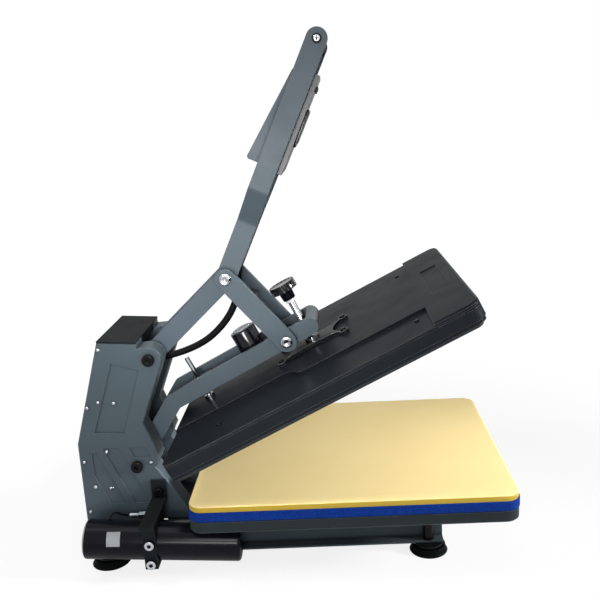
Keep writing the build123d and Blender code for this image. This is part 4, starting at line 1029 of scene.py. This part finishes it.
# %% Rods over the heater
seat, length = foot_and_length("pressure_rod", heater_up)
round_seat = [(0, 12.6), (0.4, 13.0), (5.4, 13.0), (6.0, 12.4), (6.0, 7.6)]
lift_rod = turned("lift_rod", [*round_seat, (8.0, 6.0), (length, 6.0)])
dress(stand(lift_rod, seat, heater_up), chrome, "chrome", "knob", "pressure_rod")

guide_foot, length = foot_and_length("guide_rod", heater_up)
flange = [(0, 9.0), (4.4, 9.0), (5.0, 8.4)]
post = [(5.0, 4.0), (length - 0.6, 4.0), (length, 3.4), (length, 1.6), (length - 0.6, 1.0)]
guide = turned("guide_post", flange + post)
dress(stand(guide, guide_foot, heater_up), chrome, "chrome", "heater", "guide_rod")

collar_foot = end_of(solids_of("knob_collar")[0], -heater_up)
collar = turned("nylon_collar", [(0, 8.0), (0.5, 8.5), (4.5, 8.5), (5.0, 8.0)])
dress(stand(collar, collar_foot, heater_up), white_nylon, "white_nylon", "knob", "knob_collar")

# %% [markdown]
# ## The electromagnet
# It holds the press shut until the timer ends: a glossy black pot, with a pale pole face
# in its top and a ring groove round the face's centre. Both are turned.

# %% Pot and pole
pot_foot, length = foot_and_length("electromagnet", heater_up)
pot_side = [(0, 21.0), (1.0, 22.0), (length - 2.0, 22.0), (length - 0.6, 21.4)]
pot_rim = [(length, 20.4), (length, 16.8), (length - 1.2, 16.4)]
pot = turned("magnet_pot", pot_side + pot_rim, 64)
dress(stand(pot, pot_foot, heater_up), gloss_black, "gloss_plastic", "arm", "electromagnet")

pole_foot = end_of(solids_of("magnet_pole")[0], -heater_up)
pole_ring = [(0, 16.4), (1.6, 16.4), (2.0, 16.0), (2.0, 8.6)]
pole_groove = [(1.3, 8.2), (1.3, 7.0), (2.0, 6.6), (2.0, 3.0), (1.0, 2.6)]
pole = turned("magnet_face", pole_ring + pole_groove, 64)
dress(stand(pole, pole_foot, heater_up), pole_paint, "pole_face", "arm", "magnet_pole")

# %% [markdown]
# ## The canister
# A black tube lies beside the column and dips a little forwards. It is turned, and a
# quarter circle in the outline rounds its front rim. A plain steel cap closes its rear.

# %% Tube and cap
tube_rear, tube_front = on_tube(-173), on_tube(72)
tube_length, outer = (tube_front - tube_rear).length / mm, tube_radius / mm
end_round, steps, tube_sides = 5.0, 6, 96
body_outline = [(3.0, outer - 0.7), (3.0, outer), (tube_length - end_round, outer)]
for step in range(1, steps + 1):
    angle = math.pi / 2 * step / steps
    height = tube_length - end_round * (1 - math.sin(angle))
    body_outline.append((height, outer - end_round * (1 - math.cos(angle))))
canister = stand(turned("canister_body", body_outline, tube_sides), tube_rear, tube_dir)
dress(canister, tube_black, "black_sheet", "base", "canister_tube")
cap_outline = [(0, 8.0), (0, 25.0), (0.6, 28.4), (1.8, 30.2), (3.2, 30.68), (4.0, 30.68)]
cap = turned("canister_cap", cap_outline, tube_sides)
dress(stand(cap, tube_rear, tube_dir), brushed, "steel", "base", "canister_caps")

# %% [markdown]
# A flat label would stand off the tube's curve. So it is cut from a cylinder with the
# tube's own radius, by deleting every face outside its width, and thickened outwards.

# %% Label


def tube_label(length, half_turn, lift):
    """A patch of the tube's own surface round its +X side, thickened outwards."""
    clear_selection()
    bpy.ops.mesh.primitive_cylinder_add(
        vertices=120, radius=tube_radius, depth=length, end_fill_type="NOTHING"
    )
    patch = bpy.context.object
    patch.name = "tube_label"
    settle(patch)
    half = math.radians(half_turn)
    select_faces(patch, lambda f: abs(math.atan2(f.center.y, f.center.x)) > half)
    bpy.ops.mesh.delete(type="FACE")
    leave_edit()
    shell = patch.modifiers.new("sheet", "SOLIDIFY")
    shell.thickness = lift
    shell.offset = 1.0
    apply_modifiers(patch)
    return smooth(patch, 40)


label = tube_label(21.0 * mm, 21.0, 0.25 * mm)
label_out = Vector((0, -0.875, 0.485)).normalized()
label_down = Vector((0, -0.485, -0.875)).normalized()
label_turn = Matrix((label_out, label_down, tube_dir)).transposed().to_4x4()
label.matrix_world = Matrix.Translation(on_tube(-124)) @ label_turn
settle(label)
dress(label, label_grey, "steel", "base")

# %% [markdown]
# ## The sensor plug
# A hexagonal nut holds the sensor to its tab, and a bright ribbed barrel with the lead
# follows behind it.

# %% Nut and barrel
plug_place = pad_point(-90, -93, -68)
back = Vector((-1, 0, 0))
nut = round_over(turned("sensor_nut", [(0, 6.4), (12.5, 6.4)], 6), 0.5 * mm)
dress(stand(nut, plug_place, back), dark_steel, "steel", "base")
barrel_outline = [(-6.0, 2.9), (13.4, 2.9), (13.4, 4.9)]
rib_start, rib_pitch = 14.4, 1.9
for rib in range(6):
    start = rib_start + rib * rib_pitch
    barrel_outline += [(start, 4.9), (start + 0.3, 4.3), (start + 0.8, 4.3), (start + 1.1, 4.9)]
barrel_outline += [(27.4, 4.9), (28.6, 3.9), (28.6, 1.6)]
barrel = turned("sensor_barrel", barrel_outline)
dress(stand(barrel, plug_place, back), zinc, "steel", "base", "sensor_plug")

# %% [markdown]
# ## Control box trim
# The hose enters the box through a ribbed gland. The display sits under a rounded black
# bezel with three keys above it.

# %% Gland, bezel and keys
gland_length = 10.0
gland_outline = [(0, 6.2), (0, 8.6), (1.0, 9.4), (2.2, 9.4), (2.6, 8.8), (3.4, 8.8), (3.8, 9.4), (5.0, 9.4)]
gland_outline += [(5.4, 8.8), (6.2, 8.8), (6.6, 9.5), (gland_length, 9.5), (gland_length, 6.2)]
gland_start = hose_end - along_handle * (gland_length * mm)
gland = stand(turned("hose_gland_body", gland_outline), gland_start, along_handle)
dress(gland, moulded_black, "matte_plastic", "lever", "hose_gland")


def panel_block(node, name, rounding):
    """A block with the size of a flat CAD node on the panel, with rounded corners and edges."""
    points, axes, spans = solids_of(node)[0], (along_handle, left, to_operator), []
    for axis in axes:
        reaches = [p.dot(axis) for p in points]
        spans.append((min(reaches), max(reaches)))
    clear_selection()
    bpy.ops.mesh.primitive_cube_add(size=1)
    block = bpy.context.object
    block.name = name
    block.scale = [high - low for low, high in spans]
    settle(block)
    select_edges(block, lambda a, b: abs(a.z - b.z) > 1e-4)
    bpy.ops.mesh.bevel(offset=rounding * mm, offset_type="OFFSET", segments=6, affect="EDGES")
    leave_edit()
    round_over(block, 0.8 * mm)
    middle = sum((axis * sum(span) / 2 for axis, span in zip(axes, spans)), Vector())
    turn = Matrix((along_handle, -left, to_operator)).transposed().to_4x4()
    block.matrix_world = Matrix.Translation(middle) @ turn
    settle(block)
    only(block)
    bpy.ops.object.mode_set(mode="EDIT")
    face_outwards()
    return smooth(block, 40)


bezel = panel_block("display_bezel", "display_frame", 4.0)
select_faces(bezel, lambda f: f.normal.dot(to_operator) > 0.99 and f.area > 1e-3)
bpy.ops.mesh.inset(thickness=2.6 * mm)
bpy.ops.mesh.inset(thickness=0.3 * mm, depth=-0.8 * mm)
leave_edit()
dress(bezel, gloss_black, "gloss_plastic", "lever", "display_bezel")
key_top = [(-8.9, 1.8), (-8.9, 4.9), (-0.9, 4.9), (-0.25, 4.6), (0, 3.9), (-0.35, 2.4)]
for index in (1, 2, 3):
    node = f"panel_button_{index}"
    key_end = end_of(solids_of(node)[0], to_operator)
    length = foot_and_length(node, to_operator)[1]
    key = stand(turned(f"panel_key_{index}", [(-length, 1.8), *key_top], 40), key_end, to_operator)
    dress(key, gloss_black, "gloss_plastic", f"button_{index}", node)

# %% [markdown]
# ## Stems of the feet
# A broad disc lies on each rubber foot, and a stem goes up from it into the rail. Both
# are one turned piece.

# %% Discs and stems
stem_spots = [(end_of(solid, -up), up) for solid in solids_of("foot_stems")]
foot_disc = [(0, 24.0), (0.6, 24.5), (4.2, 24.5), (5.0, 23.6), (5.0, 12.0)]
stem = turned("foot_stem", [*foot_disc, (5.0, 8.5), (42.0, 8.5)])
stems = copies_at(stem, "foot_stems_turned", stem_spots)
dress(stems, screw_black, "black_screw", "base", "foot_stems")

# %% [markdown]
# ## The pressure knob
# A thick wheel with a ribbed rim stands on a hub. It starts as a cylinder with three
# sides to each rib. Every third side is drawn in, which leaves the ribs standing. Then
# the top is dished, the hub is extruded downwards, and a bevel rounds the sharp edges.

# %% Knob
knob_radius, knob_height, knob_ribs = 22.5 * mm, 13.5 * mm, 16
hub_radius, hub_height = 12.0 * mm, 16.0 * mm
rib_depth, dish_rim, dish_depth = 2.2 * mm, 5.0 * mm, 1.8 * mm


def ribbed_knob():
    knob = disc("knob_wheel", knob_radius, knob_height, knob_ribs * 3)
    groove = 2 * math.pi / knob_ribs

    def in_groove(face):
        share = (math.atan2(face.center.y, face.center.x) / groove) % 1.0
        return abs(face.normal.z) < 0.1 and share < 0.34

    sides = select_faces(knob, in_groove)
    bpy.ops.mesh.inset(thickness=0.25 * mm, use_individual=True)
    bpy.ops.mesh.extrude_faces_move(TRANSFORM_OT_shrink_fatten={"value": -rib_depth})
    leave_edit()
    select_faces(knob, lambda f: f.normal.z > 0.9 and f.area > 1e-4)
    bpy.ops.mesh.inset(thickness=dish_rim)
    bpy.ops.transform.translate(value=(0, 0, -dish_depth))
    bpy.ops.mesh.inset(thickness=2.0 * mm)
    leave_edit()
    select_faces(knob, lambda f: f.normal.z < -0.9 and f.area > 1e-4)
    bpy.ops.mesh.inset(thickness=knob_radius - hub_radius)
    bpy.ops.mesh.extrude_region_move(TRANSFORM_OT_translate={"value": (0, 0, -hub_height)})
    bpy.ops.transform.resize(value=(0.9, 0.9, 1))
    leave_edit()
    round_over(knob, 0.5 * mm)
    print("knob ribs", sides, "faces", len(knob.data.polygons))
    return smooth(knob, 40)


knob = ribbed_knob()
knob_end = end_of(solids_of("pressure_knob")[0], heater_up)
stand(knob, knob_end, heater_up)
dress(knob, gloss_black, "gloss_plastic", "knob", "pressure_knob")

# %% [markdown]
# ## The grip
# The operator pulls the lever down by a rubber tube. It has a bead at each end and swells
# a little in the middle. A disc is extruded along the tube in steps, and each step's ring
# is scaled.

# %% Grip
grip_low, grip_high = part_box("handle_grip")
grip_middle = (grip_low + grip_high) / 2
grip_length, grip_radius = grip_high.y - grip_low.y, (grip_high.z - grip_low.z) / 2


def hand_grip(rings=24):
    clear_selection()
    bpy.ops.mesh.primitive_circle_add(vertices=48, radius=grip_radius, fill_type="NGON", location=(0, 0, 0))
    grip = bpy.context.object
    grip.name = "rubber_grip"
    bpy.ops.object.mode_set(mode="EDIT")
    bpy.ops.mesh.select_all(action="SELECT")
    size = 1.0
    for ring in range(1, rings + 1):
        along = ring / rings
        bead = 0.06 * math.exp(-(min(along, 1 - along) * 14))
        target = 0.94 + bead + 0.02 * math.sin(math.pi * along) ** 2
        bpy.ops.mesh.extrude_region_move(TRANSFORM_OT_translate={"value": (0, 0, grip_length / rings)})
        bpy.ops.transform.resize(value=(target / size, target / size, 1))
        size = target
    face_outwards()
    stand(grip, Vector((grip_middle.x, grip_high.y, grip_middle.z)), left)
    print("grip", [round(d, 4) for d in grip.dimensions])
    return smooth(grip, 50)


grip = hand_grip()
dress(grip, grip_rubber, "rubber", "lever", "handle_grip")

# %% [markdown]
# ## The feet
# Each foot is a rubber puck under the stem's disc. The puck is a short cone whose upper
# rim is rounded. The groove round it is a band of the side faces, inset and pushed in.

# %% Feet


def rubber_puck(low_radius, high_radius, height):
    clear_selection()
    bpy.ops.mesh.primitive_cone_add(
        vertices=48, radius1=low_radius, radius2=high_radius, depth=height, location=(0, 0, -height / 2)
    )
    puck = bpy.context.object
    puck.name = "puck"
    settle(puck)
    select_faces(puck, lambda f: abs(f.normal.z) < 0.7)
    bpy.ops.mesh.inset(thickness=height * 0.32)
    bpy.ops.transform.resize(value=(0.96, 0.96, 1))
    leave_edit()
    round_rim(puck, 1.2 * mm)
    return smooth(puck, 40)


puck_spots = [(end_of(solid, up), up) for solid in solids_of("rubber_feet")]
pucks = copies_at(rubber_puck(31.0 * mm, 27.5 * mm, 11.0 * mm), "rubber_pucks", puck_spots)
dress(pucks, foot_rubber, "rubber", "base", "rubber_feet")

# %% [markdown]
# ## Floor, light and camera
# The photograph shows the press on white, lit softly from all round. The floor and the
# world look white, but the world lights the press at less than half that strength.

# %% Floor and world
clear_selection()
bpy.ops.mesh.primitive_plane_add(size=60, location=(0, 0, 0))
floor = bpy.context.object
floor.name = "floor"


def white_floor():
    """White to the camera and more so farther off, so the shadow stays and no far edge shows."""
    material, tree, shader = blank_material("white_floor")
    set_inputs(tree, shader, Base_Color=(0.92, 0.92, 0.92, 1), Roughness=0.9)
    away = add(tree, "VectorMath")
    away.operation = "LENGTH"
    tree.links.new(own_place(tree), away.inputs[0])
    far = remap(tree, away.outputs["Value"], 0.55, 1.3, To_Min=0.78, To_Max=1.0)
    seen = add(tree, "LightPath").outputs["Is Camera Ray"]
    blend = add(tree, "MixShader", Fac=maths(tree, "MULTIPLY", seen, far))
    glow = add(tree, "Emission", Color=(1, 1, 1, 1), Strength=1.05)
    tree.links.new(shader.outputs["BSDF"], blend.inputs[1])
    tree.links.new(glow.outputs["Emission"], blend.inputs[2])
    set_inputs(tree, tree.nodes["Material Output"], Surface=blend.outputs["Shader"])
    return material


floor.data.materials.append(white_floor())

world = bpy.data.worlds.new("studio")
bpy.context.scene.world = world
world.use_nodes = True
sky = world.node_tree
sky.nodes.clear()
rays = add(sky, "LightPath").outputs
seen = maths(sky, "MAXIMUM", rays["Is Camera Ray"], rays["Is Glossy Ray"])
seen = maths(sky, "MAXIMUM", seen, rays["Is Transmission Ray"])
strength = remap(sky, seen, 0.0, 1.0, To_Min=0.42, To_Max=1.0)
backdrop = add(sky, "Background", Color=(1, 1, 1, 1), Strength=strength)
add(sky, "OutputWorld", Surface=backdrop.outputs["Background"])

# %% [markdown]
# Soft square lamps light the press from above, from the camera's side, from its front and
# from behind. Two of them have a narrow spread, and reach little but the links and the
# pad.

# %% Lamps


def soft_lamp(name, place, aim, size, watts, spread=180):
    lamp = bpy.data.lights.new(name, "AREA")
    lamp.spread = math.radians(spread)
    lamp.size = size
    lamp.energy = watts
    lamp_object = bpy.data.objects.new(name, lamp)
    bpy.context.collection.objects.link(lamp_object)
    lamp_object.location = place
    lamp_object.rotation_euler = (Vector(aim) - Vector(place)).to_track_quat("-Z", "Y").to_euler()
    print(name, size, "m wide,", watts, "W")


soft_lamp("top_lamp", (-0.3, -0.4, 2.6), (0, 0, 0.3), 1.2, 6)
soft_lamp("front_lamp", (0.5, -2.4, 0.8), (0, 0, 0.3), 1.4, 4.5)
soft_lamp("link_lamp", (-0.15, -1.5, 0.60), (-0.12, 0, 0.45), 0.4, 0.85, spread=36)
soft_lamp("tube_lamp", (-0.10, -1.43, 0.86), (-0.25, -0.15, 0.07), 0.3, 2.4)
soft_lamp("pad_lamp", (2.1, -0.5, 0.85), (-0.02, 0, 0.14), 0.4, 2.0, spread=24)
soft_lamp("edge_lamp", (-1.25, -0.5, 2.3), (0, 0, 0.3), 0.4, 12)

# %% [markdown]
# ## Camera
# The camera stands level with the handle, turned a little and tilted down, so the pad's
# corners, the column and the feet fall where the photograph has them.

# %% Camera
photo_width, focal_pixels, middle_pixel = 600, 752.7, 323.2
camera_place = pad_point(230.7, -1216.7, 558.8)
yaw, pitch, roll = (math.radians(a) for a in (-0.714, 13.73, -2.582))
looking = Vector((math.sin(yaw) * math.cos(pitch), math.cos(yaw) * math.cos(pitch), -math.sin(pitch)))
level = Vector((math.cos(yaw), -math.sin(yaw), 0))
upright = level.cross(looking)
right = level * math.cos(roll) + upright * math.sin(roll)
top = upright * math.cos(roll) - level * math.sin(roll)
turn = Matrix((right, top, -looking)).transposed().to_4x4()

lens_data = bpy.data.cameras.new("camera")
lens_data.sensor_width = 36
lens_data.lens = focal_pixels / photo_width * lens_data.sensor_width
lens_data.shift_x = -(middle_pixel - photo_width / 2) / photo_width
camera = bpy.data.objects.new("camera", lens_data)
bpy.context.collection.objects.link(camera)
camera.matrix_world = Matrix.Translation(camera_place) @ turn
bpy.context.scene.camera = camera
bpy.context.scene.view_settings.view_transform = "Standard"
print("camera at", [round(c, 3) for c in camera_place])
